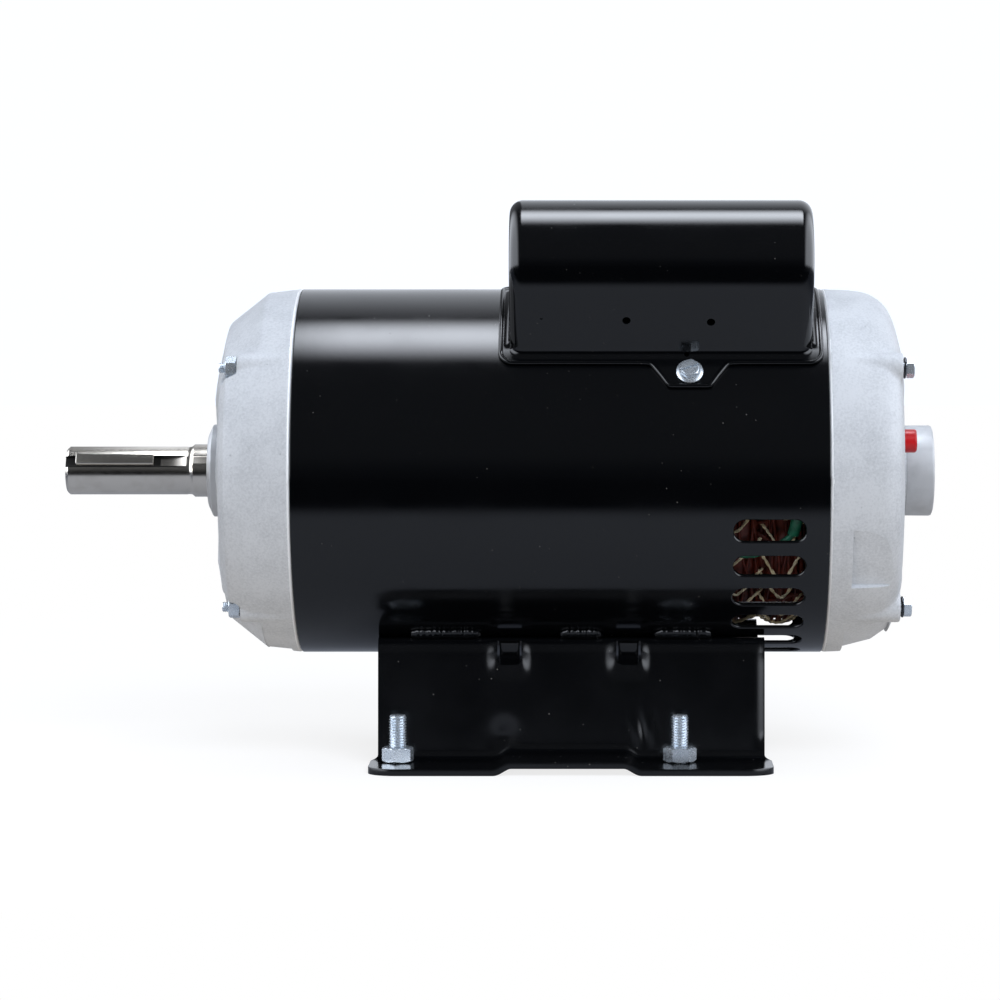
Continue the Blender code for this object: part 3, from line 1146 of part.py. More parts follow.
def build_capacitor(axis):
    """Start capacitor on the shell under the cover, with two terminal tabs, and the wire grommet."""
    place = axial_place(0.0, COVER_SEAT + FIT + CAPACITOR_RADIUS, COVER_ANGLE)
    end = CAPACITOR_START + CAPACITOR_LENGTH
    can = round_bar(CAPACITOR_RADIUS, CAPACITOR_START, end, 2 * RING_SIDES, place)
    capacitor = node("start_capacitor", can, "black_plastic", axis)
    tabs = []
    for side in (-1, 1):
        outline = box_outline(TERMINAL_TAB_SIZE, TERMINAL_TAB_THICKNESS, (0.0, side * CAPACITOR_RADIUS / 3))
        tabs.append(prism([outline], end - TERMINAL_TAB_SIZE, end + TERMINAL_TAB_SIZE, place))
    shape(capacitor, 'UNION', merged(tabs))
    inside, outside = -SHELL_WALL - 2 * FIT, FIT + GROMMET_LIP
    bore, lip = GROMMET_RADIUS - GROMMET_LIP / 2, GROMMET_RADIUS + GROMMET_LIP
    ring = [(inside, GROMMET_RADIUS), (FIT, GROMMET_RADIUS), (FIT, lip), (outside, lip), (outside, bore),
            (inside, bore)]
    hole = radial_place(WIRE_HOLE_X, SHELL_RADIUS, COVER_ANGLE)
    node("wire_grommet", moved(turned(ring, RING_SIDES), hole @ upright()), "rubber", axis)


def build_leads(axis):
    """Capacitor leads through the grommet to the switch plate, and the green ground lead."""
    centre = COVER_SEAT + FIT + CAPACITOR_RADIUS
    tab_end = CAPACITOR_START + CAPACITOR_LENGTH + TERMINAL_TAB_SIZE + FIT
    plate = SWITCH_PLATE_FRONT - FIT
    seat = SWITCH_PLATE_RADIUS - LEAD_INSET
    for index, side in enumerate((-1, 1), start=1):
        tab = COVER_ANGLE + side * math.degrees(CAPACITOR_RADIUS / 3 / centre)
        slip = side * math.degrees(LEAD_DIAMETER * 0.7 / SHELL_RADIUS)
        passage = COVER_ANGLE + slip
        route = [on_axis(tab_end, centre, tab), on_axis(tab_end + 2 * LEAD_DIAMETER, centre, tab)]
        route += [on_axis(WIRE_HOLE_X, SHELL_RADIUS + rise, passage)
                  for rise in (LEAD_DROP, 0.0, -LEAD_DROP)]
        route += [on_axis(x, seat, passage + slip) for x in (plate - LEAD_STRAIGHT, plate)]
        tube(f"capacitor_lead_{index}", lead_route(route), LEAD_DIAMETER, "black_plastic", axis)
    high = SHELL_BORE - GROUND_INSET
    route = [on_axis(x, seat, GROUND_ANGLES[0]) for x in (plate, plate - LEAD_STRAIGHT)]
    route += [on_axis(SHELL_END - bend, high, angle)
              for bend, angle in zip(GROUND_BENDS, GROUND_ANGLES[1:])]
    route += [on_axis(STACK_END + reach, high, GROUND_ANGLES[-1]) for reach in (LEAD_STRAIGHT, FIT)]
    tube("ground_lead", lead_route(route), LEAD_DIAMETER, "green_sleeve", axis)


def base_section(rise):
    """Half section of the base sheet, from the middle of the saddle to the flange."""
    points = []
    arc = 4
    turn = math.radians(90.0 - BASE_WELD_ANGLE) / (arc - 1)
    radius = SADDLE_RADIUS / math.cos(turn / 2)
    for step in range(arc):
        points.append((radius * math.sin(turn * step), AXIS_HEIGHT - radius * math.cos(turn * step)))
    span, height = points[-1]
    points.append((span + BASE_SHEET, height - 0.8 * BASE_SHEET))
    flange = BASE_SHEET / 2 + rise
    for step in range(4):
        angle = math.radians(90.0 * step / 3)
        points.append((BASE_WALL_FOOT + BASE_BEND * (1.0 - math.cos(angle)),
                       flange + BASE_BEND * (1.0 - math.sin(angle))))
    return points


def base_stations():
    """Places along the base and the rise of its flange: feet at both ends, a raised middle."""
    foot_end = BASE_START - FOOT_OVERHANG + FOOT_DRIVE_LENGTH
    foot_start = BASE_END + FOOT_OVERHANG - FOOT_REAR_LENGTH
    corner = [0.0, 0.25, 1.0]
    stations = [(BASE_START + FOOT_CORNER * share, 0.0) for share in corner]
    stations += [(foot_end, 0.0), (foot_end + JOGGLE_LENGTH, FLANGE_RISE)]
    stations += [(foot_start - JOGGLE_LENGTH, FLANGE_RISE), (foot_start, 0.0)]
    return stations + [(BASE_END - FOOT_CORNER * share, 0.0) for share in reversed(corner)]


def build_base(axis):
    """Stamped base: saddle, walls, feet and raised flange from one sheet, notched and drilled."""
    rows = []
    for x, rise in base_stations():
        from_end = min(x - BASE_START, BASE_END - x)
        outward = -1.0 if x - BASE_START < BASE_END - x else 1.0
        shift = outward * FOOT_OVERHANG * max(0.0, 1.0 - from_end / FOOT_CORNER)
        share = min(1.0, from_end / FOOT_CORNER)
        pulled = FOOT_CORNER * (1.0 - math.sqrt(1.0 - (1.0 - share) ** 2))
        half = base_section(rise)
        bend_span, flange = half[-1]
        half += [((bend_span + BASE_HALF_WIDTH) / 2, flange), (BASE_HALF_WIDTH - pulled, flange)]
        first = len(half) - OVERHANG_POINTS
        side = [(x + (shift if index >= first else 0.0), span, height)
                for index, (span, height) in enumerate(half)]
        rows.append(side[::-1] + [(along, -span, height) for along, span, height in side[1:]])
    bm = bmesh.new()
    grid = [[bm.verts.new((x, y, z - AXIS_HEIGHT)) for x, y, z in row] for row in rows]
    for one, two in zip(grid, grid[1:]):
        for i in range(len(one) - 1):
            bm.faces.new((one[i], one[i + 1], two[i + 1], two[i]))
    base = node("base", mesh_of(bm), "black_enamel", axis)
    solid = base.modifiers.new("sheet", 'SOLIDIFY')
    solid.thickness = BASE_SHEET
    solid.offset = 0.0
    solid.use_even_offset = True
    cuts = []
    weld = math.radians(BASE_WELD_ANGLE)
    notch_top = -SADDLE_RADIUS * math.sin(weld) + BASE_SHEET
    wall = SADDLE_RADIUS * math.cos(weld)
    for x in NOTCH_CENTRES:
        for side in (-1, 1):
            outline = box_outline(NOTCH_WIDTH, 5 * BASE_SHEET, (x, side * (wall + 2.2 * BASE_SHEET)))
            cuts.append(prism([outline], notch_top - NOTCH_HEIGHT - BASE_SHEET, notch_top - BASE_SHEET))
    spots = [Matrix.Translation((x, y, -AXIS_HEIGHT)) for x, y in stud_places()]
    hole = STUD_DIAMETER / 2 + FIT
    cuts += [round_bar(hole, -BASE_SHEET, 3 * BASE_SHEET, BOSS_SIDES, spot) for spot in spots]
    shape(base, 'DIFFERENCE', merged(cuts))
    sink = STUD_HEAD_DIAMETER / 2 + FIT
    sinks = [round_bar(sink, -BASE_SHEET, STUD_HEAD_HEIGHT + 2 * FIT, BOSS_SIDES, spot) for spot in spots]
    shape(base, 'DIFFERENCE', merged(sinks))


def stud_places():
    """X and Y of the four mounting studs."""
    rows = (BASE_START + STUD_FROM_DRIVE_EDGE, BASE_END - STUD_FROM_REAR_EDGE)
    return [(x, side * STUD_HALF_SPAN) for x in rows for side in (-1, 1)]


def build_studs(axis):
    """Studs pressed into the feet from below, with a nut on each."""
    nut_low = BASE_SHEET + FIT
    top = nut_low + STUD_NUT_HEIGHT + STUD_PROUD
    radius = STUD_DIAMETER / 2
    head = STUD_HEAD_DIAMETER / 2
    shoulder = FIT + STUD_HEAD_HEIGHT
    profile = [(FIT, 0.0), (FIT, head), (shoulder, head), (shoulder, radius), (top - STUD_CHAMFER, radius),
               (top, radius - STUD_CHAMFER), (top, 0.0)]
    nut = [hexagon(STUD_NUT_ACROSS), circle(radius + FIT, BOSS_SIDES)]
    for index, (x, y) in enumerate(stud_places(), start=1):
        spot = (x, y, -AXIS_HEIGHT)
        stud = moved(turned(profile, BOSS_SIDES, closed=False), upright())
        node(f"base_stud_{index}", stud, "zinc_plate", axis, spot)
        node(f"base_nut_{index}", prism(nut, nut_low, nut_low + STUD_NUT_HEIGHT), "zinc_plate", axis, spot)


def main():
    """Build every piece of the motor."""
    clear_scene()
    axis = empty("motor_axis", (0.0, 0.0, AXIS_HEIGHT))
    rotor = empty("rotor_axis", (0.0, 0.0, 0.0), axis)
    build_shell(axis)
    build_drive_bell(axis)
    build_rear_bell(axis)
    build_through_bolts(axis)
    build_shaft(rotor)
    build_bearing("drive", axis, rotor, DRIVE_BEARING_FRONT, DRIVE_BEARING_BORE, DRIVE_BEARING_OUTER,
                  DRIVE_BEARING_WIDTH, axis)
    build_bearing("rear", axis, rotor, REAR_BEARING_FRONT, REAR_BEARING_BORE, REAR_BEARING_OUTER,
                  REAR_BEARING_WIDTH, axis)
    build_wave_washer(axis)
    build_stator(axis)
    build_wound_forms(axis)
    build_rotor(rotor)
    build_governor(rotor)
    build_start_switch(axis)
    build_protector(axis)
    build_cover(axis)
    build_cover_screws(axis)
    build_capacitor(axis)
    build_leads(axis)
    build_base(axis)
    build_studs(axis)


main()
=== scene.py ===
"""Dressed model of a single-phase electric motor with a capacitor cover on a stamped base.

The shaft lies along X with its drive end at -X, and the base stands on z = 0.  Angles round
the shaft start at the horizontal on the -Y side and grow upwards.
"""
import logging
import math
import random
from collections.abc import Iterable, Sequence
from dataclasses import dataclass
from enum import Enum

import bmesh
import bpy
from mathutils import Matrix, Vector, noise


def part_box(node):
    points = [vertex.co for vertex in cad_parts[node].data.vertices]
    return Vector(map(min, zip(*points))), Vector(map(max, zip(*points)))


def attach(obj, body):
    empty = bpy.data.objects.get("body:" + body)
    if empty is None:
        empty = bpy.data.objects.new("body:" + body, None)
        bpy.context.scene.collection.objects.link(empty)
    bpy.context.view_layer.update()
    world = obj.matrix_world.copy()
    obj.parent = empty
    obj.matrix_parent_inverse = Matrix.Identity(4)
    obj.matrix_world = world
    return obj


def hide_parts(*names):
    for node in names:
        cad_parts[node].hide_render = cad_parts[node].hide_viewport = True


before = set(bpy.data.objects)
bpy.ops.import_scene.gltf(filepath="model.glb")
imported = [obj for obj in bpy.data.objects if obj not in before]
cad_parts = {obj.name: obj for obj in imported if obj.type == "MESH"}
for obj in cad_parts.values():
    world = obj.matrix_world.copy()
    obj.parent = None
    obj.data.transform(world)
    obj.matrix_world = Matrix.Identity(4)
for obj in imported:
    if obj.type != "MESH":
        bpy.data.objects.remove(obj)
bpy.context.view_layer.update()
LOG = logging.getLogger("motor")

MM = 0.001
AXIS_Z = 131.0 * MM
SHELL_RADIUS = 84.2 * MM
DRIVE_JOINT = -91.3 * MM
REAR_JOINT = 149.3 * MM
BOLT_CIRCLE = 77.0 * MM
BOLT_ANGLES = (40.0, 130.0, 220.0, 310.0)
BUTTON_SIDE = -45.0 * MM
BUTTON_RISE = 16.0 * MM

Section = list[tuple[float, float]]
Pairs = tuple[tuple[float, float], ...]
Four = tuple[float, float, float, float]
Ramp = Four
Settings = dict[str, object]
Mesh = bpy.types.Mesh
Node = bpy.types.Node
Socket = bpy.types.NodeSocket
Tree = bpy.types.NodeTree

TIMES: Settings = {"operation": 'MULTIPLY'}
LARGER: Settings = {"operation": 'MAXIMUM'}
CLAMPED_SUM: Settings = {"operation": 'ADD', "use_clamp": True}
COLOURS: Settings = {"data_type": 'RGBA'}
VALUES: Settings = {"data_type": 'FLOAT'}
SMOOTH: Settings = {"interpolation_type": 'SMOOTHSTEP'}
BANDS: Settings = {"wave_type": 'BANDS', "bands_direction": 'X'}
BANDS_PER_UNIT = 20.0


class Body(Enum):
    """Bodies of the frame that pieces ride on."""

    FRAME = "frame"
    ROTOR = "rotor"
    BUTTON = "reset_button"


class Slot(Enum):
    """Material slots of the record."""

    ENAMEL = "black_enamel"
    ALUMINIUM = "cast_aluminium"
    ZINC = "zinc_plate"
    STEEL = "turned_steel"
    LAMINATION = "lamination_steel"
    WIRE = "enamelled_wire"
    LACING = "lacing_cord"
    RED = "red_plastic"
    BLACK = "black_plastic"
    BOARD = "brown_board"
    SLEEVE = "green_sleeve"
    RUBBER = "rubber"
    SPRING = "spring_steel"


class Cut(Enum):
    """Ways of working one solid with others."""

    AWAY = "DIFFERENCE"
    JOIN = "UNION"


def linear(code: str) -> tuple[float, float, float, float]:
    """Linear colour of an sRGB hex value.

    Args:
        code: Colour as six hex digits after a hash.

    Returns:
        Red, green, blue and alpha.
    """
    channels = [int(code[start:start + 2], 16) / 255 for start in (1, 3, 5)]
    return (*[c / 12.92 if c <= 0.04045 else ((c + 0.055) / 1.055) ** 2.4 for c in channels], 1.0)


def add_node(tree: Tree, kind: str, settings: Settings | None = None,
             inputs: dict | None = None) -> Node:
    """Add one node with its settings, values and links.

    Args:
        tree: Tree that takes the node.
        kind: Type of the node.
        settings: Attributes of the node.
        inputs: Values or linked sockets, by the input's name or index.

    Returns:
        The node.
    """
    node = tree.nodes.new(kind)
    for name, value in (settings or {}).items():
        setattr(node, name, value)
    for key, value in (inputs or {}).items():
        if isinstance(value, Socket):
            tree.links.new(value, node.inputs[key])
        else:
            node.inputs[key].default_value = value
    return node


def span(low: float, high: float, start: float, end: float) -> dict[str, float]:
    """Inputs that map the values from low to high onto start to end."""
    return {"From Min": low, "From Max": high, "To Min": start, "To Max": end}


def per_mm(size: float) -> float:
    """Texture scale whose pattern repeats at that many millimetres."""
    return 1.0 / (size * MM)


@dataclass(frozen=True)
class Finish:
    """A surface finish: its slot, colour and shader values."""

    slot: Slot
    colour: str
    roughness: float
    metallic: float = 0.0

    def material(self) -> bpy.types.Material:
        """Make the finish's material, once.

        Returns:
            The material.
        """
        name = f"{type(self).__name__}_{self.slot.value}_{self.colour[1:]}_{self.roughness:.2f}"
        if name in bpy.data.materials:
            return bpy.data.materials[name]
        material = bpy.data.materials.new(name)
        material.use_nodes = True
        tree = material.node_tree
        shader = tree.nodes["Principled BSDF"]
        shader.inputs["Base Color"].default_value = linear(self.colour)
        shader.inputs["Roughness"].default_value = self.roughness
        shader.inputs["Metallic"].default_value = self.metallic
        self.dress(tree, shader, add_node(tree, "ShaderNodeTexCoord").outputs["Object"])
        return material

    def dress(self, tree: Tree, shader: Node, place: Socket) -> None:
        """Add the finish's own pattern.

        Args:
            tree: Tree of the material.
            shader: Shader to dress.
            place: Point in metres.
        """
        raise NotImplementedError

    def link(self, tree: Tree, shader: Node, colour: Node, bump: Node, rough: Node | None = None) -> None:
        """Link the pattern to the shader.

        Args:
            tree: Tree of the material.
            shader: Shader to dress.
            colour: Mix that gives the colour.
            bump: Relief.
            rough: Node that gives the gloss, if it varies.
        """
        tree.links.new(colour.outputs[2], shader.inputs["Base Color"])
        tree.links.new(bump.outputs["Normal"], shader.inputs["Normal"])
        if rough:
            tree.links.new(rough.outputs[0], shader.inputs["Roughness"])


@dataclass(frozen=True)
class GlossEnamel(Finish):
    """Dipped and baked black enamel: a wet gloss with faint orange peel and a little dust."""

    peel_mm: float = 3.2
    dust_mm: float = 5.0
    cloud_mm: float = 28.0
    dust: str = "#8d8a84"
    dusty: float = 0.35
    ior: float = 1.55

    def dress(self, tree: Tree, shader: Node, place: Socket) -> None:
        """Add orange peel, dust specks and cloudy gloss.

        Args:
            tree: Tree of the material.
            shader: Shader to dress.
            place: Point in metres.
        """
        peel = add_node(tree, "ShaderNodeTexNoise", None,
                        {"Vector": place, "Scale": per_mm(self.peel_mm), "Detail": 2.0})
        cells = add_node(tree, "ShaderNodeTexVoronoi", None,
                         {"Vector": place, "Scale": per_mm(self.dust_mm), "Randomness": 1.0})
        clouds = add_node(tree, "ShaderNodeTexNoise", None,
                          {"Vector": place, "Scale": per_mm(self.cloud_mm), "Detail": 3.0})
        speck = add_node(tree, "ShaderNodeMapRange", None,
                         {"Value": cells.outputs["Distance"], **span(0.03, 0.075, 1.0, 0.0)})
        patch = add_node(tree, "ShaderNodeMapRange", None,
                         {"Value": clouds.outputs["Fac"], **span(0.48, 0.66, 0.0, self.dusty)})
        dust = add_node(tree, "ShaderNodeMath", TIMES,
                        {0: speck.outputs["Result"], 1: patch.outputs["Result"]})
        colour = add_node(tree, "ShaderNodeMix", COLOURS,
                          {"Factor": dust.outputs[0], 6: linear(self.colour), 7: linear(self.dust)})
        gloss = add_node(tree, "ShaderNodeMapRange", None,
                         {"Value": clouds.outputs["Fac"],
                          **span(0.3, 0.7, self.roughness * 0.8, self.roughness * 1.3)})
        rough = add_node(tree, "ShaderNodeMath", CLAMPED_SUM,
                         {0: gloss.outputs["Result"], 1: dust.outputs[0]})
        bump = add_node(tree, "ShaderNodeBump", None,
                        {"Height": peel.outputs["Fac"], "Strength": 0.10, "Distance": 0.05 * MM})
        self.link(tree, shader, colour, bump, rough)
        shader.inputs["IOR"].default_value = self.ior


@dataclass(frozen=True)
class BlastedCasting(Finish):
    """Cast and shot-blasted aluminium: a pale matt metal with a fine even grain."""

    grain_mm: float = 1.1
    cloud_mm: float = 16.0
    pit_mm: float = 9.0
    mottled: float = 0.22
    stain: str = "#a9adb2"

    def dress(self, tree: Tree, shader: Node, place: Socket) -> None:
        """Add grain, drawn coarser than real grit so that it shows, over cloudy tone and small pits.

        Args:
            tree: Tree of the material.
            shader: Shader to dress.
            place: Point in metres.
        """
        grain = add_node(tree, "ShaderNodeTexNoise", None,
                         {"Vector": place, "Scale": per_mm(self.grain_mm), "Detail": 4.0, "Roughness": 0.65})
        clouds = add_node(tree, "ShaderNodeTexNoise", None,
                          {"Vector": place, "Scale": per_mm(self.cloud_mm), "Detail": 4.0})
        pits = add_node(tree, "ShaderNodeTexVoronoi", None,
                        {"Vector": place, "Scale": per_mm(self.pit_mm), "Randomness": 1.0})
        pit = add_node(tree, "ShaderNodeMapRange", None,
                       {"Value": pits.outputs["Distance"], **span(0.03, 0.07, 0.55, 0.0)})
        tone = add_node(tree, "ShaderNodeMapRange", None,
                        {"Value": clouds.outputs["Fac"], **span(0.3, 0.75, 0.0, 0.4)})
        mottle = add_node(tree, "ShaderNodeMapRange", None,
                          {"Value": grain.outputs["Fac"], **span(0.35, 0.65, -self.mottled, self.mottled)})
        share = add_node(tree, "ShaderNodeMath", {"operation": 'ADD'},
                         {0: tone.outputs["Result"], 1: mottle.outputs["Result"]})
        dirt = add_node(tree, "ShaderNodeMath", CLAMPED_SUM, {0: share.outputs[0], 1: pit.outputs["Result"]})
        colour = add_node(tree, "ShaderNodeMix", COLOURS,
                          {"Factor": dirt.outputs[0], 6: linear(self.colour), 7: linear(self.stain)})
        rough = add_node(tree, "ShaderNodeMapRange", None,
                         {"Value": clouds.outputs["Fac"],
                          **span(0.0, 1.0, self.roughness - 0.06, self.roughness + 0.08)})
        bump = add_node(tree, "ShaderNodeBump", None,
                        {"Height": grain.outputs["Fac"], "Strength": 0.35, "Distance": 0.12 * MM})
        self.link(tree, shader, colour, bump, rough)


@dataclass(frozen=True)
class TurnedMetal(Finish):
    """Lathe-turned metal: fine rings round the shaft, bright with a soft streak."""

    ring_mm: float = 0.8
    mark_mm: float = 7.0
    tarnish: str = "#8b8377"

    def dress(self, tree: Tree, shader: Node, place: Socket) -> None:
        """Add rings along X, drawn coarser than the tool's feed, and handling marks.

        Args:
            tree: Tree of the material.
            shader: Shader to dress.
            place: Point in metres.
        """
        rings = add_node(tree, "ShaderNodeTexWave", BANDS,
                         {"Vector": place, "Scale": per_mm(self.ring_mm) / BANDS_PER_UNIT, "Distortion": 0.4})
        marks = add_node(tree, "ShaderNodeTexNoise", None,
                         {"Vector": place, "Scale": per_mm(self.mark_mm), "Detail": 5.0})
        share = add_node(tree, "ShaderNodeMapRange", None,
                         {"Value": marks.outputs["Fac"], **span(0.45, 0.8, 0.0, 0.45)})
        colour = add_node(tree, "ShaderNodeMix", COLOURS,
                          {"Factor": share.outputs["Result"], 6: linear(self.colour),
                           7: linear(self.tarnish)})
        rough = add_node(tree, "ShaderNodeMapRange", None,
                         {"Value": marks.outputs["Fac"],
                          **span(0.0, 1.0, self.roughness * 0.7, self.roughness * 1.4)})
        bump = add_node(tree, "ShaderNodeBump", None,
                        {"Height": rings.outputs["Fac"], "Strength": 0.12, "Distance": 0.03 * MM})
        self.link(tree, shader, colour, bump, rough)


@dataclass(frozen=True)
class PlatedMetal(Finish):
    """Plated or tempered steel: smooth, with drifting tints and small scuffs."""

    tint: str = "#aebccb"
    cloud_mm: float = 4.0
    scuff_mm: float = 1.6

    def dress(self, tree: Tree, shader: Node, place: Socket) -> None:
        """Add cloudy tint and uneven gloss.

        Args:
            tree: Tree of the material.
            shader: Shader to dress.
            place: Point in metres.
        """
        clouds = add_node(tree, "ShaderNodeTexNoise", None,
                          {"Vector": place, "Scale": per_mm(self.cloud_mm), "Detail": 2.0})
        scuffs = add_node(tree, "ShaderNodeTexNoise", None,
                          {"Vector": place, "Scale": per_mm(self.scuff_mm), "Detail": 1.0})
        colour = add_node(tree, "ShaderNodeMix", COLOURS,
                          {"Factor": clouds.outputs["Fac"], 6: linear(self.colour), 7: linear(self.tint)})
        rough = add_node(tree, "ShaderNodeMapRange", None,
                         {"Value": scuffs.outputs["Fac"],
                          **span(0.0, 1.0, self.roughness * 0.8, self.roughness * 1.3)})
        bump = add_node(tree, "ShaderNodeBump", None,
                        {"Height": scuffs.outputs["Fac"], "Strength": 0.02, "Distance": 0.06 * MM})
        self.link(tree, shader, colour, bump, rough)


@dataclass(frozen=True)
class StackedSheet(Finish):
    """Stacked electrical steel: thin sheets whose edges show as fine lines."""

    sheet_mm: float = 1.0
    gap: str = "#17181a"

    def dress(self, tree: Tree, shader: Node, place: Socket) -> None:
        """Add lines between the sheets, drawn at twice the real sheet so that they show.

        Args:
            tree: Tree of the material.
            shader: Shader to dress.
            place: Point in metres.
        """
        lines = add_node(tree, "ShaderNodeTexWave", BANDS,
                         {"Vector": place, "Scale": per_mm(self.sheet_mm) / BANDS_PER_UNIT})
        colour = add_node(tree, "ShaderNodeMix", COLOURS,
                          {"Factor": lines.outputs["Fac"], 6: linear(self.gap), 7: linear(self.colour)})
        bump = add_node(tree, "ShaderNodeBump", None,
                        {"Height": lines.outputs["Fac"], "Strength": 0.4, "Distance": 0.1 * MM})
        self.link(tree, shader, colour, bump)


@dataclass(frozen=True)
class Moulded(Finish):
    """Moulded plastic, rubber or varnished wire: one colour with slight clouding and grain."""

    shade: str = "#000000"
    grain_mm: float = 1.0
    relief: float = 0.1

    def dress(self, tree: Tree, shader: Node, place: Socket) -> None:
        """Add clouding towards a second shade, uneven gloss and grain.

        Args:
            tree: Tree of the material.
            shader: Shader to dress.
            place: Point in metres.
        """
        clouds = add_node(tree, "ShaderNodeTexNoise", None,
                          {"Vector": place, "Scale": per_mm(self.grain_mm * 5), "Detail": 3.0})
        grain = add_node(tree, "ShaderNodeTexNoise", None,
                         {"Vector": place, "Scale": per_mm(self.grain_mm), "Detail": 3.0})
        share = add_node(tree, "ShaderNodeMapRange", None,
                         {"Value": clouds.outputs["Fac"], **span(0.35, 0.7, 0.0, 1.0)})
        colour = add_node(tree, "ShaderNodeMix", COLOURS,
                          {"Factor": share.outputs["Result"], 6: linear(self.colour), 7: linear(self.shade)})
        rough = add_node(tree, "ShaderNodeMapRange", None,
                         {"Value": grain.outputs["Fac"],
                          **span(0.0, 1.0, self.roughness * 0.8, min(1.0, self.roughness * 1.25))})
        bump = add_node(tree, "ShaderNodeBump", None,
                        {"Height": grain.outputs["Fac"], "Strength": self.relief, "Distance": 0.1 * MM})
        self.link(tree, shader, colour, bump, rough)


# Dipped and baked enamel: wet black gloss, a little softer and dustier on the base.
ENAMEL = GlossEnamel(Slot.ENAMEL, "#050608", 0.13)
BASE_ENAMEL = GlossEnamel(Slot.ENAMEL, "#050608", 0.19, dusty=0.8)
# Blasted castings: pale and matt, with turned hubs that are smoother and machined rims painted near white as
# a painted highlight.
CASTING = BlastedCasting(Slot.ALUMINIUM, "#d3d6da", 0.62, 0.2)
HUB_METAL = TurnedMetal(Slot.ALUMINIUM, "#c6c8cb", 0.48, 0.45, tarnish="#a6a8ab")
RIM_HIGHLIGHT_METAL = TurnedMetal(Slot.ALUMINIUM, "#f3f5f7", 0.4, 0.2, tarnish="#e2e5e8")
# Bright zinc plate: cool and shiny with cloudy tints.
ZINC = PlatedMetal(Slot.ZINC, "#eaeff4", 0.26, 0.75, tint="#c9d6e2")
# Turned shaft steel: warm and mirror-like; the keyway's milled faces are duller and painted dark as painted
# shade.
KEYWAY_SHADE_STEEL = TurnedMetal(Slot.STEEL, "#3b3a39", 0.4, 0.8, tarnish="#2b2928")
STEEL = TurnedMetal(Slot.STEEL, "#e8e1d6", 0.2, 1.0, tarnish="#c0b9ae")
# Punched sheet and tempered spring steel: dark greys with a dull shine.
LAMINATION = StackedSheet(Slot.LAMINATION, "#5b5d61", 0.5, 0.8)
SPRING = PlatedMetal(Slot.SPRING, "#5a5b5e", 0.35, 1.0, tint="#3c3d40")
# Varnished copper wire and waxed cord: red-brown gloss under dry cream thread.
WIRE = Moulded(Slot.WIRE, "#6d2a1c", 0.32, 0.25, "#3d120d", 0.8)
LACING = Moulded(Slot.LACING, "#e6dcc0", 0.85, 0.0, "#cbbd97", 0.5, 0.5)
# Moulded plastics, pressed board and rubber: flat colours from satin to dull.
RED = Moulded(Slot.RED, "#c3141b", 0.3, 0.0, "#ab1016", 0.8)
BLACK = Moulded(Slot.BLACK, "#151516", 0.45, 0.0, "#0d0d0e", 0.8, 0.2)
BOARD = Moulded(Slot.BOARD, "#6b4a2f", 0.6, 0.0, "#4f3421", 1.2, 0.3)
SLEEVE = Moulded(Slot.SLEEVE, "#1a6a50", 0.5, 0.0, "#0e4433", 0.8, 0.3)
RUBBER = Moulded(Slot.RUBBER, "#141414", 0.75, 0.0, "#0c0c0c", 1.0, 0.3)
NODE_FINISHES = {finish.slot: finish for finish in (
    ENAMEL, CASTING, ZINC, STEEL, LAMINATION, WIRE, LACING, RED, BLACK, BOARD, SLEEVE, RUBBER, SPRING)}


def polar(radius: float, degrees: float) -> tuple[float, float]:
    """Y and Z of a point round the shaft, from the shaft's line."""
    turn = math.radians(degrees)
    return -radius * math.cos(turn), radius * math.sin(turn)


def on_axis(x: float, radius: float, degrees: float) -> Vector:
    """Point at a radius and angle round the shaft."""
    y, z = polar(radius, degrees)
    return Vector((x, y, AXIS_Z + z))


def axial(x: float, radius: float, degrees: float) -> Matrix:
    """Place whose local Z runs along the shaft and local X points out from it.

    Args:
        x: Place along the shaft.
        radius: Distance from the shaft's line.
        degrees: Angle round the shaft.

    Returns:
        The place.
    """
    outward, along = Vector((0.0, *polar(1.0, degrees))), Vector((1.0, 0.0, 0.0))
    turn = Matrix((outward, along.cross(outward), along)).transposed().to_4x4()
    return Matrix.Translation(on_axis(x, radius, degrees)) @ turn


def radial(x: float, radius: float, degrees: float) -> Matrix:
    """Place whose local Z points out from the shaft and local X runs along it.

    Args:
        x: Place along the shaft.
        radius: Distance from the shaft's line.
        degrees: Angle round the shaft.

    Returns:
        The place.
    """
    outward, along = Vector((0.0, *polar(1.0, degrees))), Vector((1.0, 0.0, 0.0))
    turn = Matrix((along, outward.cross(along), outward)).transposed().to_4x4()
    return Matrix.Translation(on_axis(x, radius, degrees)) @ turn


def smoothstep(low: float, high: float, value: float) -> float:
    """Smooth rise from 0 at low to 1 at high."""
    share = min(1.0, max(0.0, (value - low) / (high - low)))
    return share * share * (3.0 - 2.0 * share)


def in_mm(points: Sequence[tuple[float, float]]) -> Section:
    """Section given in millimetres."""
    return [(one * MM, two * MM) for one, two in points]


def spread(low: float, high: float, count: int) -> list[float]:
    """Evenly spaced values from low to high."""
    return [low + (high - low) * step / (count - 1) for step in range(count)]


def bezier(one: Vector, two: Vector, three: Vector, count: int) -> list[Vector]:
    """Points of a quadratic curve with its ends."""
    return [one * (1 - t) ** 2 + two * (2 * t * (1 - t)) + three * t ** 2 for t in spread(0.0, 1.0, count)]


def mesh_of(bm: bmesh.types.BMesh) -> Mesh:
    """Make a mesh of a bmesh, with equal points joined and its faces turned out.

    Args:
        bm: The bmesh, which is freed.

    Returns:
        The mesh.
    """
    bmesh.ops.remove_doubles(bm, verts=bm.verts, dist=1e-7)
    bmesh.ops.recalc_face_normals(bm, faces=bm.faces)
    mesh = bpy.data.meshes.new("form")
    bm.to_mesh(mesh)
    bm.free()
    return mesh


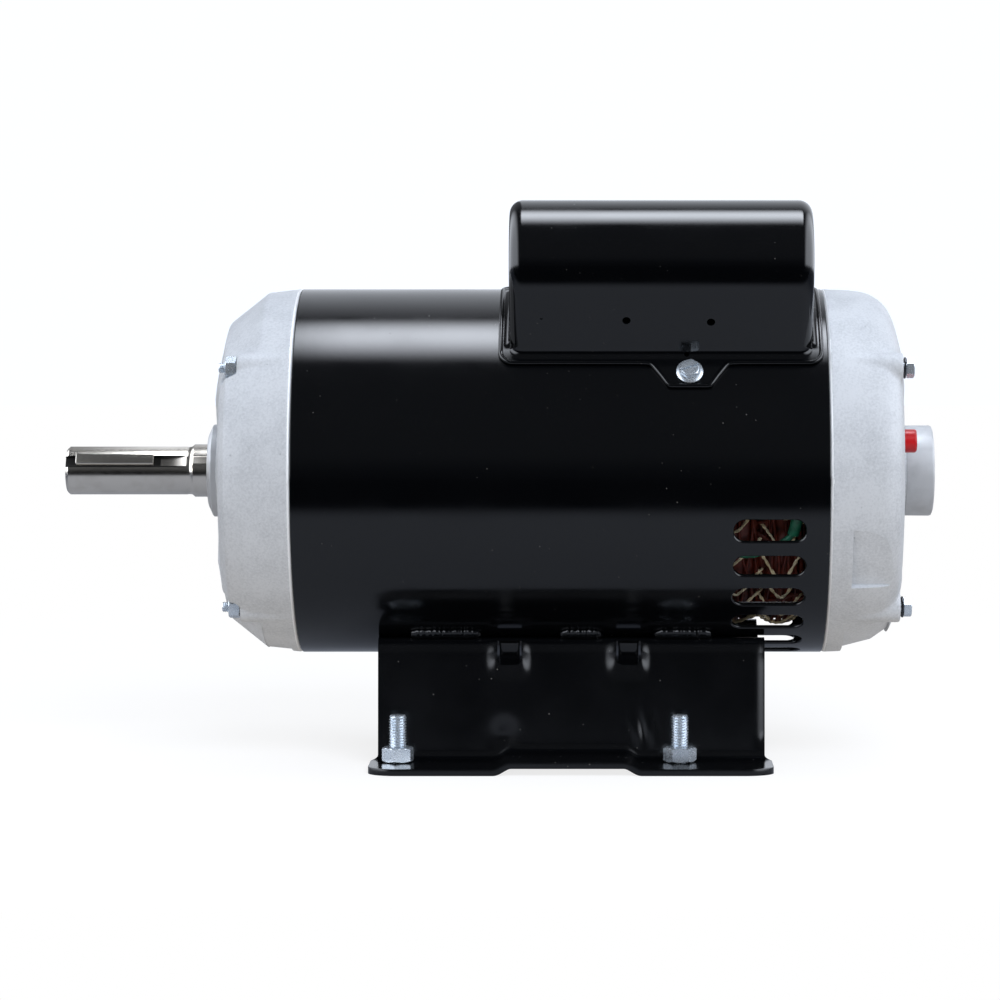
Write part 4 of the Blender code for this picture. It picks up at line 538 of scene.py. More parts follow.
def woven(rows: Sequence[Sequence[Vector]], ring: bool = True, loop: bool = False,
          caps: bool = False) -> Mesh:
    """Mesh of faces through rows of as many points each.

    Args:
        rows: The rows of points.
        ring: Whether each row closes on itself.
        loop: Whether the last row joins the first.
        caps: Whether the end rows are filled.

    Returns:
        The mesh.
    """
    bm = bmesh.new()
    grid = [[bm.verts.new(point) for point in row] for row in rows]
    pairs = list(zip(grid, grid[1:])) + ([(grid[-1], grid[0])] if loop else [])
    for one, two in pairs:
        for i in range(len(one) if ring else len(one) - 1):
            j = (i + 1) % len(one)
            bm.faces.new((one[i], one[j], two[j], two[i]))
    if caps:
        bm.faces.new(grid[0])
        bm.faces.new(grid[-1])
    return mesh_of(bm)


def joined(meshes: Iterable[Mesh]) -> Mesh:
    """Join several meshes into one.

    Args:
        meshes: Meshes, which are removed.

    Returns:
        The mesh.
    """
    bm = bmesh.new()
    for mesh in meshes:
        bm.from_mesh(mesh)
        bpy.data.meshes.remove(mesh)
    whole = bpy.data.meshes.new("form")
    bm.to_mesh(whole)
    bm.free()
    return whole


def moved(mesh: Mesh, place: Matrix) -> Mesh:
    """The mesh after a move."""
    mesh.transform(place)
    return mesh


def worked(mesh: Mesh, *steps: tuple[str, Settings]) -> Mesh:
    """The mesh after modifiers.

    Args:
        mesh: Mesh to work.
        steps: Kind and settings of each modifier.

    Returns:
        The finished mesh.
    """
    holder = bpy.data.objects.new("work", mesh)
    bpy.context.scene.collection.objects.link(holder)
    for kind, settings in steps:
        modifier = holder.modifiers.new(kind.lower(), kind)
        for name, value in settings.items():
            setattr(modifier, name, value)
    graph = bpy.context.evaluated_depsgraph_get()
    result = bpy.data.meshes.new_from_object(holder.evaluated_get(graph), depsgraph=graph)
    bpy.data.objects.remove(holder, do_unlink=True)
    bpy.data.meshes.remove(mesh)
    return result


def carved(mesh: Mesh, tools: Iterable[Mesh], cut: Cut = Cut.AWAY) -> Mesh:
    """The mesh after a cut or join by other solids.

    Args:
        mesh: Mesh to work.
        tools: Solids that don't touch each other.
        cut: What is done with them.

    Returns:
        The finished mesh.
    """
    tool = bpy.data.objects.new("tool", joined(tools))
    bpy.context.scene.collection.objects.link(tool)
    result = worked(mesh, ("BOOLEAN", {"object": tool, "operation": cut.value, "solver": 'EXACT'}))
    form = tool.data
    bpy.data.objects.remove(tool, do_unlink=True)
    bpy.data.meshes.remove(form)
    return result


def turned(profile: Section, sides: int, loop: bool = False) -> Mesh:
    """Solid turned about local Z.

    Args:
        profile: Height and radius of each point.
        sides: Points round.
        loop: Whether the profile closes on itself, as for a ring.

    Returns:
        The mesh.
    """
    turns = [math.tau * step / sides for step in range(sides)]
    rows = [[Vector((r * math.cos(a), r * math.sin(a), z)) for a in turns] for z, r in profile]
    return woven(rows, loop=loop, caps=not loop)


def stadium(length: float, width: float, points: int) -> Section:
    """Outline of a slot with round ends, about its middle.

    Args:
        length: Length over both ends.
        width: Width.
        points: Points round each end.

    Returns:
        The outline.
    """
    outline = []
    for side in (1, -1):
        for turn in spread(-math.pi / 2, math.pi / 2, points):
            outline.append((side * ((length - width) / 2 + width / 2 * math.cos(turn)),
                            side * width / 2 * math.sin(turn)))
    return outline


def hex_radius(across: float, turn: float) -> float:
    """Radius of a hexagon at an angle, its corners at multiples of 60 degrees."""
    return across / 2 / math.cos((turn % (math.pi / 3)) - math.pi / 6)


def hex_form(across: float, height: float, hole: float, both: bool) -> Mesh:
    """Nut or bolt head standing on local Z, its corners cut by a 30 degree cone.

    Args:
        across: Width across flats.
        height: Height of the hexagon.
        hole: Radius of the hole, or 0 for a head.
        both: Whether both ends are cut.

    Returns:
        The mesh.
    """
    points = 72
    turns = [math.tau * step / points for step in range(points)]
    start = 0.97 * across / 2
    slope = math.tan(math.radians(30.0))
    cone = (across / math.sqrt(3.0) - start) * slope
    levels = [(height - z, start + z / slope) for z in spread(0.0, cone, 5)]
    if both:
        levels += [(z, start + z / slope) for z in spread(cone, 0.0, 5)]
    else:
        levels.append((0.0, across))
    rows = []
    for z, limit in levels:
        sizes = [min(hex_radius(across, a), limit) for a in turns]
        rows.append([Vector((size * math.cos(a), size * math.sin(a), z)) for size, a in zip(sizes, turns)])
    if not hole:
        return woven(rows, caps=True)
    lead = 0.4 * MM
    for z, radius in ((0.0, hole + lead), (lead, hole), (height - lead, hole), (height, hole + lead)):
        rows.append([Vector((radius * math.cos(a), radius * math.sin(a), z)) for a in turns])
    return woven(rows, loop=True)


def threaded(radius: float, pitch: float, low: float, high: float, tip: float, flip: bool = False) -> Mesh:
    """Rod with a rolled thread, standing on local Z.

    Args:
        radius: Outer radius of the thread.
        pitch: Rise of one turn.
        low: Height where it starts.
        high: Height where it ends.
        tip: Length of the chamfered tip.
        flip: Whether the tip is at the low end.

    Returns:
        The mesh.
    """
    depth, sides, per_turn = 0.55 * pitch, 28, 8
    steps = max(per_turn, round((high - low) / pitch * per_turn))
    rows = []
    for z in spread(low, high, steps + 1):
        from_tip = (z - low) if flip else (high - z)
        limit = radius - max(0.0, tip - from_tip) * 0.8
        row = []
        for step in range(sides):
            turn = math.tau * step / sides
            wave = (z / pitch - step / sides) % 1.0
            ridge = radius - depth * abs(2.0 * wave - 1.0) ** 1.2
            size = min(ridge, limit)
            row.append(Vector((size * math.cos(turn), size * math.sin(turn), z)))
        rows.append(row)
    return woven(rows, caps=True)


def tube(points: Sequence[Vector], radius: float, sides: int = 8, loop: bool = False) -> Mesh:
    """Round wire along points.

    Args:
        points: Middle line.
        radius: Radius of the wire.
        sides: Points round it.
        loop: Whether the wire closes on itself.

    Returns:
        The mesh.
    """
    count = len(points)
    rows = []
    side = None
    for i, point in enumerate(points):
        before = points[(i - 1) % count if loop else max(0, i - 1)]
        after = points[(i + 1) % count if loop else min(count - 1, i + 1)]
        along = (after - before).normalized()
        if side is None:
            side = along.orthogonal().normalized()
        side = (side - along * side.dot(along)).normalized()
        other = along.cross(side)
        rows.append([point + side * (radius * math.cos(math.tau * k / sides))
                     + other * (radius * math.sin(math.tau * k / sides)) for k in range(sides)])
    return woven(rows, loop=loop, caps=not loop)


def smooth_route(points: Sequence[Vector], steps: int) -> list[Vector]:
    """Points of a smooth curve through a route.

    Args:
        points: Route.
        steps: Steps between its points.

    Returns:
        The points.
    """
    widened = [points[0], *points, points[-1]]
    route = []
    for before, start, end, after in zip(widened, widened[1:], widened[2:], widened[3:]):
        for step in range(steps):
            t = step / steps
            square = (2 * before - 5 * start + 4 * end - after) * t ** 2
            cube = (3 * start - before - 3 * end + after) * t ** 3
            route.append(0.5 * (2 * start + (end - before) * t + square + cube))
    return route + [points[-1]]


def cast_skin(mesh: Mesh, voxel: float, passes: int) -> Mesh:
    """The mesh as one casting with its edges and corners softened."""
    return worked(mesh, ("REMESH", {"mode": 'VOXEL', "voxel_size": voxel, "adaptivity": 0.0}),
                  ("SMOOTH", {"factor": 0.5, "iterations": passes}))


def piece(name: str, mesh: Mesh, finish: Finish, body: Body, replaces: Sequence[str] = (),
          sharp: float = 32.0) -> bpy.types.Object:
    """Add one finished piece that rides on a body.

    Args:
        name: Name of the piece.
        mesh: Its mesh, in place.
        finish: Its finish.
        body: Body that it moves with.
        replaces: Nodes that it stands for.
        sharp: Angle in degrees above which an edge stays sharp.

    Returns:
        The piece.
    """
    mesh.name = name
    mesh.materials.clear()
    mesh.materials.append(finish.material())
    mesh.shade_smooth()
    mesh.set_sharp_from_angle(angle=math.radians(sharp))
    thing = bpy.data.objects.new(name, mesh)
    bpy.context.scene.collection.objects.link(thing)
    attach(thing, body.value)
    if replaces:
        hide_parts(*replaces)
    LOG.info("%s: %d faces", name, len(mesh.polygons))
    return thing


@dataclass
class Studio:
    """Camera, lamps, white floor and surroundings; each ramp is two places and the values there."""

    distance: float = 1.75
    focal_px: float = 3763.0
    target_x: float = 46.65 * MM
    tilt: float = 3.3
    frame_px: float = 1000.0
    centre_px: tuple[float, float] = (600.0, 470.5)
    lamp_tint: str = "#eff5ff"
    floor_size: float = 8.0
    floor_grey: str = "#8f8f8f"
    table_ramp: Ramp = (-0.44, -0.30, 0.0, 1.0)
    near_ramp: Ramp = (0.3, 0.8, 1.0, 0.0)
    shaded_white: float = 0.8
    bounce: float = 0.5
    bounce_tint: str = "#fff3e2"
    mirrored_floor: float = 0.18
    mirror_tint: str = "#d6e3ff"
    front_ramp: Ramp = (0.0, 0.25, 0.02, 0.08)
    behind_ramp: Ramp = (0.15, 0.8, 0.0, 1.0)
    ends_ramp: Ramp = (0.4, 0.75, 0.0, 3.4)
    drive_ramp: Ramp = (-0.13, -0.085, 0.2, 1.0)
    diffuse_level: float = 0.55
    white_level: float = 1.15
    panel_level: float = 11.0
    panel_height: float = 1.55
    panel_x: Ramp = (-0.25, -0.17, 0.45, 0.62)
    panel_y: Ramp = (-0.48, 0.09, 0.11, 0.62)

    def camera(self) -> None:
        """Camera at the photograph's angle."""
        data = bpy.data.cameras.new("camera")
        data.sensor_width = 36.0
        data.lens = self.focal_px / self.frame_px * data.sensor_width
        data.shift_x = (self.frame_px / 2 - self.centre_px[0]) / self.frame_px
        data.shift_y = (self.centre_px[1] - self.frame_px / 2) / self.frame_px
        data.clip_end = 50.0
        eye = bpy.data.objects.new("camera", data)
        tilt = math.radians(self.tilt)
        eye.location = (self.target_x, -self.distance * math.cos(tilt),
                        AXIS_Z + self.distance * math.sin(tilt))
        eye.rotation_euler = (math.pi / 2 - tilt, 0.0, 0.0)
        bpy.context.scene.collection.objects.link(eye)
        bpy.context.scene.camera = eye

    def lamp(self, name: str, place: tuple[float, float, float], aim: tuple[float, float, float],
             size: tuple[float, float], power: float) -> None:
        """Add one soft box, which reflections show as part of the surroundings instead.

        Args:
            name: Name of the lamp.
            place: Where it hangs.
            aim: Point that it faces.
            size: Width and height.
            power: Power in watts.
        """
        data = bpy.data.lights.new(name, 'AREA')
        data.shape = 'RECTANGLE'
        data.size, data.size_y = size
        data.energy = power
        data.color = linear(self.lamp_tint)[:3]
        lamp = bpy.data.objects.new(name, data)
        lamp.location = place
        lamp.visible_glossy = False
        lamp.rotation_euler = (Vector(aim) - Vector(place)).to_track_quat('-Z', 'Y').to_euler()
        bpy.context.scene.collection.objects.link(lamp)

    def flat(self, name: str, xs: Sequence[float], ys: Sequence[float], height: float) -> bpy.types.Object:
        """Add one flat piece of the set, with a plain material.

        Args:
            name: Name of the piece and its material.
            xs: Places of its points along X.
            ys: Places of its points along Y.
            height: Its height.

        Returns:
            The piece.
        """
        mesh = woven([[Vector((x, y, height)) for x in xs] for y in ys], ring=False)
        material = bpy.data.materials.new(name)
        material.use_nodes = True
        mesh.materials.append(material)
        thing = bpy.data.objects.new(name, mesh)
        bpy.context.scene.collection.objects.link(thing)
        return thing

    def floor(self) -> None:
        """White floor, bright to the camera and to reflections, that keeps a faint shadow."""
        places = spread(-self.floor_size / 2, self.floor_size / 2, 9)
        floor = self.flat("floor", places, places, 0.0)
        tree = floor.data.materials[0].node_tree
        shader = tree.nodes["Principled BSDF"]
        shader.inputs["Roughness"].default_value = 0.8
        shader.inputs["Specular IOR Level"].default_value = 0.0
        place = add_node(tree, "ShaderNodeTexCoord").outputs["Object"]
        axes = add_node(tree, "ShaderNodeSeparateXYZ", None, {"Vector": place})
        away = add_node(tree, "ShaderNodeVectorMath", {"operation": 'LENGTH'}, {0: place})
        table, near = [
            add_node(tree, "ShaderNodeMapRange", SMOOTH, {"Value": value, **span(*limits)}).outputs["Result"]
            for value, limits in ((axes.outputs["Y"], self.table_ramp),
                                  (away.outputs["Value"], self.near_ramp))]
        lit = add_node(tree, "ShaderNodeMath", TIMES, {0: table, 1: near})
        colour = add_node(tree, "ShaderNodeMix", COLOURS,
                          {"Factor": lit.outputs[0], 6: linear("#000000"), 7: linear(self.floor_grey)})
        path = add_node(tree, "ShaderNodeLightPath")
        seen = add_node(tree, "ShaderNodeMath", LARGER,
                        {0: path.outputs["Is Camera Ray"], 1: path.outputs["Is Transmission Ray"]})
        white = add_node(tree, "ShaderNodeMapRange", None,
                         {"Value": lit.outputs[0], **span(0.0, 1.0, 1.0, self.shaded_white)})
        mirrored = add_node(tree, "ShaderNodeMath", TIMES, {0: table, 1: self.mirrored_floor})
        other = add_node(tree, "ShaderNodeMix", VALUES,
                         {"Factor": path.outputs["Is Diffuse Ray"], 2: mirrored.outputs[0], 3: self.bounce})
        glow = add_node(tree, "ShaderNodeMix", VALUES,
                        {"Factor": seen.outputs[0], 2: other.outputs[0], 3: white.outputs["Result"]})
        cool = add_node(tree, "ShaderNodeMix", COLOURS, {"Factor": path.outputs["Is Glossy Ray"],
                                                         6: linear("#ffffff"), 7: linear(self.mirror_tint)})
        tint = add_node(tree, "ShaderNodeMix", COLOURS, {"Factor": path.outputs["Is Diffuse Ray"],
                                                         6: cool.outputs[2], 7: linear(self.bounce_tint)})
        tree.links.new(colour.outputs[2], shader.inputs["Base Color"])
        tree.links.new(tint.outputs[2], shader.inputs["Emission Color"])
        tree.links.new(glow.outputs[0], shader.inputs["Emission Strength"])

    def surroundings(self) -> None:
        """White to the camera, bright behind the motor and dim in front of it in reflections."""
        world = bpy.data.worlds.new("studio")
        world.use_nodes = True
        bpy.context.scene.world = world
        tree = world.node_tree
        tree.nodes.clear()
        direction = add_node(tree, "ShaderNodeTexCoord").outputs["Generated"]
        axes = add_node(tree, "ShaderNodeSeparateXYZ", None, {"Vector": direction})
        side = add_node(tree, "ShaderNodeMath", {"operation": 'ABSOLUTE'}, {0: axes.outputs["X"]})
        front, behind, ends, drive = [
            add_node(tree, "ShaderNodeMapRange", SMOOTH, {"Value": value, **span(*limits)}).outputs["Result"]
            for value, limits in ((axes.outputs["Z"], self.front_ramp), (axes.outputs["Y"], self.behind_ramp),
                                  (side.outputs[0], self.ends_ramp), (axes.outputs["X"], self.drive_ramp))]
        screen = add_node(tree, "ShaderNodeMath", TIMES, {0: behind, 1: drive})
        room = add_node(tree, "ShaderNodeMath", LARGER, {0: screen.outputs[0], 1: ends})
        mirror = add_node(tree, "ShaderNodeMath", LARGER, {0: room.outputs[0], 1: front})
        path = add_node(tree, "ShaderNodeLightPath")
        level = add_node(tree, "ShaderNodeMix", VALUES,
                         {"Factor": path.outputs["Is Glossy Ray"], 2: self.diffuse_level,
                          3: mirror.outputs[0]})
        direct = add_node(tree, "ShaderNodeMath", LARGER,
                          {0: path.outputs["Is Camera Ray"], 1: path.outputs["Is Transmission Ray"]})
        strength = add_node(tree, "ShaderNodeMix", VALUES,
                            {"Factor": direct.outputs[0], 2: level.outputs[0], 3: self.white_level})
        sky = add_node(tree, "ShaderNodeBackground", None,
                       {"Color": linear(self.lamp_tint), "Strength": strength.outputs[0]})
        add_node(tree, "ShaderNodeOutputWorld", None, {"Surface": sky.outputs[0]})

    def panel(self) -> None:
        """Glowing panel overhead with soft edges, which only reflections show."""
        (left, left_full, right_full, right), (near, near_full, far_full, far) = self.panel_x, self.panel_y
        panel = self.flat("soft_panel", spread(left, right, 5), spread(near, far, 5), self.panel_height)
        panel.visible_camera = panel.visible_diffuse = False
        panel.visible_transmission = panel.visible_shadow = False
        tree = panel.data.materials[0].node_tree
        tree.nodes.clear()
        place = add_node(tree, "ShaderNodeTexCoord").outputs["Object"]
        axes = add_node(tree, "ShaderNodeSeparateXYZ", None, {"Vector": place})
        glow = self.panel_level
        for axis, edge in (("X", (left, left_full, 0.0, 1.0)), ("X", (right_full, right, 1.0, 0.0)),
                           ("Y", (near, near_full, 0.0, 1.0)), ("Y", (far_full, far, 1.0, 0.0))):
            fade = add_node(tree, "ShaderNodeMapRange", SMOOTH, {"Value": axes.outputs[axis], **span(*edge)})
            glow = add_node(tree, "ShaderNodeMath", TIMES, {0: glow, 1: fade.outputs["Result"]}).outputs[0]
        light = add_node(tree, "ShaderNodeEmission", None,
                         {"Color": linear(self.lamp_tint), "Strength": glow})
        add_node(tree, "ShaderNodeOutputMaterial", None, {"Surface": light.outputs[0]})

    def build(self) -> None:
        """Set up the whole studio."""
        bpy.context.scene.view_settings.view_transform = 'Standard'
        self.camera()
        self.floor()
        self.surroundings()
        self.panel()
        self.lamp("overhead_box", (0.3, 0.16, 1.6), (0.04, 0.14, 0.2), (0.7, 0.7), 3.0)
        self.lamp("front_fill", (0.6, -1.9, 1.6), (0.03, 0.0, 0.13), (1.6, 1.2), 38.0)


@dataclass
class Shell:
    """Rolled steel shell with its rows of vents."""

    wall: float = 1.6 * MM
    start: float = -91.0 * MM
    end: float = 149.0 * MM
    edge: float = 0.5 * MM
    sides: int = 240
    vent_count: int = 6
    vent_first: float = 15.4
    vent_pitch: float = 11.95
    vent_width: float = 10.2 * MM
    vent_length: float = 32.2 * MM
    vent_to_edge: float = 10.7 * MM
    vent_flare: Pairs = ((2.0, 2.4), (0.05, 0.75), (-0.12, 0.48), (-0.35, 0.24), (-0.65, 0.06), (-0.95, 0.0),
                         (-6.0, 0.0))
    wire_hole_x: float = 128.0 * MM
    wire_hole_radius: float = 6.8 * MM
    wire_hole_angle: float = 60.0
    wire_hole_reach: float = 6.0 * MM

    def vent_angles(self) -> list[float]:
        """Angles of the vents, near side then far side."""
        below = [self.vent_first + self.vent_pitch * step for step in range(self.vent_count)]
        return [-angle for angle in below] + [180.0 + angle for angle in below]

    def vent_cutter(self, degrees: float) -> Mesh:
        """Make the cutter of one vent, flared at the outside so that the edge comes out round.

        Args:
            degrees: Angle of the vent.

        Returns:
            The cutter.
        """
        middle = self.end - self.vent_to_edge - self.vent_length / 2
        rows = []
        for height, out in self.vent_flare:
            radius = SHELL_RADIUS + height * MM
            outline = stadium(self.vent_length + 2 * out * MM, self.vent_width + 2 * out * MM, 13)
            rows.append([on_axis(middle + u, radius, degrees + math.degrees(v / SHELL_RADIUS))
                         for u, v in outline])
        top, low = [on_axis(middle, SHELL_RADIUS + self.vent_flare[end][0] * MM, degrees) for end in (0, -1)]
        return woven([[top] * len(rows[0]), *rows, [low] * len(rows[0])])

    def build(self) -> None:
        """Add the shell."""
        e, bore = self.edge, SHELL_RADIUS - self.wall
        profile = [(self.start, SHELL_RADIUS - e), (self.start + 0.3 * e, SHELL_RADIUS - 0.3 * e),
                   (self.start + e, SHELL_RADIUS), (self.end - e, SHELL_RADIUS),
                   (self.end - 0.3 * e, SHELL_RADIUS - 0.3 * e), (self.end, SHELL_RADIUS - e),
                   (self.end, bore), (self.start, bore)]
        mesh = moved(turned(profile, self.sides, loop=True), axial(0.0, 0.0, 0.0))
        cutters = [self.vent_cutter(angle) for angle in self.vent_angles()]
        hole = [(reach, self.wire_hole_radius) for reach in (-self.wire_hole_reach, self.wire_hole_reach)]
        cutters.append(moved(turned(hole, 32), radial(self.wire_hole_x, SHELL_RADIUS, self.wire_hole_angle)))
        mesh = carved(mesh, cutters)
        shell = piece("rolled_shell", mesh, ENAMEL, Body.FRAME, ["shell"])
        self.true_normals(shell.data, bore)

    def true_normals(self, mesh: Mesh, bore: float) -> None:
        """Set the shading of both faces of the wall from the true cylinder.

        Args:
            mesh: Mesh of the shell.
            bore: Inner radius.
        """
        squarely, near = 0.995, 0.1 * MM
        normals = [Vector(corner.vector) for corner in mesh.corner_normals]
        for polygon in mesh.polygons:
            middle = Vector((0.0, polygon.center.y, polygon.center.z - AXIS_Z))
            facing = polygon.normal.dot(middle.normalized())
            off_wall = min(abs(middle.length - SHELL_RADIUS), abs(middle.length - bore))
            if abs(facing) < squarely or off_wall > near:
                continue
            for loop in polygon.loop_indices:
                point = mesh.vertices[mesh.loops[loop].vertex_index].co
                outward = Vector((0.0, point.y, point.z - AXIS_Z)).normalized()
                normals[loop] = outward * math.copysign(1.0, facing)
        mesh.normals_split_custom_set([tuple(normal) for normal in normals])


def button_line(x: float) -> Matrix:
    """Place on the button's line whose local Z runs along the shaft."""
    return Matrix.Translation((x, BUTTON_SIDE, AXIS_Z + BUTTON_RISE)) @ Matrix.Rotation(math.pi / 2, 4, 'Y')


@dataclass
class Bell:
    """Cast end bell: low over the top and bottom, full on both flanks, with four bolt bosses."""

    name: str
    node: str
    joint: float
    side: int
    depth: float
    seat: float
    low: Section
    low_inside: Section
    flank: Section
    flank_inside: Section
    nose: Section
    domed: bool
    wall: float = 5.0 * MM
    spigot: float = 5.0 * MM
    spigot_radius: float = 82.3 * MM
    spigot_bore: float = 79.3 * MM
    boss_radius: float = 7.0 * MM
    boss_root: float = 3.0 * MM
    boss_rise: float = 3.0 * MM
    pocket_radius: float = 7.8 * MM
    pocket_reach: float = 25.0 * MM
    hole_radius: float = 2.8 * MM
    hole_reach: float = 4.0 * MM
    recess_reach: float = 6.0 * MM
    rim_depth: float = 1.0 * MM
    rim_width: float = 1.2 * MM
    blend: float = 4.5
    sides: int = 240
    voxel: float = 0.85 * MM
    passes: int = 5

    def flank_share(self, degrees: float) -> float:
        """Share of the full flank's section at an angle.

        Args:
            degrees: Angle round the shaft.

        Returns:
            0 over the top and bottom to 1 on the flanks.
        """
        turn = (degrees - BOLT_ANGLES[0]) % 180.0
        inside = min(turn - 90.0, 180.0 - turn) if turn >= 90.0 else -min(turn, 90.0 - turn)
        return smoothstep(-self.blend, self.blend, inside)

    def rounded(self, section: Section) -> Section:
        """Section with points added along a smooth curve when the bell is domed.

        Args:
            section: Plain section.

        Returns:
            The section.
        """
        if not self.domed:
            return section
        return [(p.x, p.y) for p in smooth_route([Vector((a, b, 0.0)) for a, b in section], 4)]

    def section(self, outside: Section, inside: Section) -> Section:
        """Whole section: out along the outside, round the hub and back inside to the spigot.

        Args:
            outside: Distances back from the face and in from the shell, outside.
            inside: The same, inside.

        Returns:
            Depth and radius of each point.
        """
        outer = [(0.0, SHELL_RADIUS)] + [(self.depth - back, SHELL_RADIUS - drop) for back, drop in outside]
        inner = [(self.depth - self.wall - back, SHELL_RADIUS - drop) for back, drop in inside]
        return [*self.rounded(outer), *self.nose, *inner, (0.0, self.spigot_bore),
                (-self.spigot, self.spigot_bore), (-self.spigot, self.spigot_radius),
                (0.0, self.spigot_radius)]

    def body(self) -> Mesh:
        """Make the body of the bell before its bosses.

        Returns:
            The mesh.
        """
        low, flank = self.section(self.low, self.low_inside), self.section(self.flank, self.flank_inside)
        angles = [360.0 * step / self.sides for step in range(self.sides)]
        shares = [self.flank_share(angle) for angle in angles]
        rows = []
        for (low_depth, low_radius), (full_depth, full_radius) in zip(low, flank):
            rows.append([on_axis(self.joint + self.side * (low_depth + (full_depth - low_depth) * share),
                                 low_radius + (full_radius - low_radius) * share, angle)
                         for angle, share in zip(angles, shares)])
        mesh = woven(rows, loop=True)
        return worked(mesh, ("TRIANGULATE", {}))

    def bar(self, radius: float, low: float, high: float, degrees: float, sides: int = 40) -> Mesh:
        """Round bar along the bolt line between two depths.

        Args:
            radius: Radius of the bar.
            low: First depth.
            high: Last depth.
            degrees: Angle of the bolt.
            sides: Points round.

        Returns:
            The bar.
        """
        span = sorted((self.side * low, self.side * high))
        return moved(turned([(span[0], radius), (span[1], radius)], sides),
                     axial(self.joint, BOLT_CIRCLE, degrees))

    def sector(self, floor: Section, start: float, end: float) -> Mesh:
        """Cutter of a shallow recess over part of the outside.

        Args:
            floor: Depth and radius of each point along its floor.
            start: First angle.
            end: Last angle.

        Returns:
            The cutter.
        """
        top = SHELL_RADIUS + self.recess_reach
        outline = [*floor, (floor[-1][0], top), (floor[0][0], top)]
        rows = [[on_axis(self.joint + self.side * depth, radius, angle) for depth, radius in outline]
                for angle in spread(start, end, 40)]
        return woven(rows, caps=True)

    def cutters(self) -> list[Mesh]:
        """Cuts of this bell alone."""
        return []

    def build(self) -> None:
        """Add the casting."""
        mesh, seat = self.body(), self.seat
        for cut, radius, low, high in (
                (Cut.JOIN, self.boss_radius, self.boss_root, seat + self.boss_rise),
                (Cut.AWAY, self.pocket_radius, seat, seat + self.pocket_reach),
                (Cut.AWAY, self.hole_radius, -self.spigot - MM, seat + self.hole_reach)):
            mesh = carved(mesh, [self.bar(radius, low, high, angle) for angle in BOLT_ANGLES], cut)
        mesh = cast_skin(mesh, self.voxel, self.passes)
        for cutter in self.cutters():
            mesh = carved(mesh, [cutter])
        bell = piece(self.name, mesh, CASTING, Body.FRAME, [self.node], sharp=38.0)
        # The thin band of the rim at the joint takes near-white metal: a machined edge whose brightness is a
        # painted highlight.
        bell.data.materials.append(RIM_HIGHLIGHT_METAL.material())
        for polygon in bell.data.polygons:
            depth = self.side * (polygon.center.x - self.joint)
            radius = math.hypot(polygon.center.y, polygon.center.z - AXIS_Z)
            if depth < self.rim_depth and radius > SHELL_RADIUS - self.rim_width:
                polygon.material_index = 1


@dataclass
class DriveBell(Bell):
    """Bell at the drive end, chamfered above and below."""

    recess: Pairs = ((4.0, 82.9), (15.6, 81.7))
    recess_angles: tuple[float, float] = (236.0, 304.0)

    def cutters(self) -> list[Mesh]:
        """Shallow rectangular recess under the bell."""
        return [self.sector(in_mm(self.recess), *self.recess_angles)]


@dataclass
class RearBell(Bell):
    """Domed bell at the rear, with the button hole and the ledge on its near flank."""

    ledge_top: float = -22.3 * MM
    ledge_bottom: float = -47.5 * MM
    ledge_edge: float = 0.5 * MM
    ledge_depth: float = 3.6 * MM
    ledge_slope: float = 0.65
    ledge_run: tuple[float, float] = (10.0 * MM, 60.0 * MM)
    button_radius: float = 5.8 * MM
    button_run: tuple[float, float] = (18.0 * MM, 70.0 * MM)
    recess: Pairs = ((8.4, 81.8), (22.5, 78.2), (30.0, 73.0))
    recess_angles: tuple[float, float] = (237.5, 302.5)

    def cutters(self) -> list[Mesh]:
        """Make the cuts of the ledge, the button hole and the recess under the bell.

        Returns:
            The cutters.
        """
        outer, top, bottom = -SHELL_RADIUS * 1.2, self.ledge_top, self.ledge_bottom
        upper = -math.sqrt(SHELL_RADIUS ** 2 - top ** 2) + self.ledge_edge
        lower = -math.sqrt(SHELL_RADIUS ** 2 - bottom ** 2) + self.ledge_depth
        outline = [(outer, top), (upper, top), (lower, bottom),
                   (outer, bottom - self.ledge_slope * (lower - outer))]
        ledge = woven([[Vector((self.joint + x, y, AXIS_Z + z)) for y, z in outline] for x in self.ledge_run],
                      caps=True)
        button = moved(turned([(x, self.button_radius) for x in self.button_run], 32),
                       button_line(self.joint))
        return [ledge, button, self.sector(in_mm(self.recess), *self.recess_angles)]


def drive_bell() -> DriveBell:
    """Set up the drive bell with its sizes.

    Returns:
        The bell.
    """
    nose = [(38.2, 21.0), (40.2, 21.0), (42.2, 17.0), (42.2, 12.8), (30.0, 12.8), (30.0, 26.3), (14.7, 26.3),
            (14.7, 31.0), (32.2, 32.0)]
    return DriveBell(
        name="drive_bell_casting", node="drive_end_bell", joint=DRIVE_JOINT, side=-1, depth=38.2 * MM,
        seat=24.7 * MM,
        low=in_mm([(23.2, 1.7), (5.8, 15.5), (1.1, 35.2)]),
        low_inside=in_mm([(1.1, 36.7), (5.8, 19.1), (21.2, 5.9)]),
        flank=in_mm([(17.0, 1.4), (8.8, 4.0), (5.6, 10.0)]),
        flank_inside=in_mm([(3.0, 35.2), (5.6, 14.5), (12.7, 6.4)]),
        nose=in_mm(nose), domed=False)


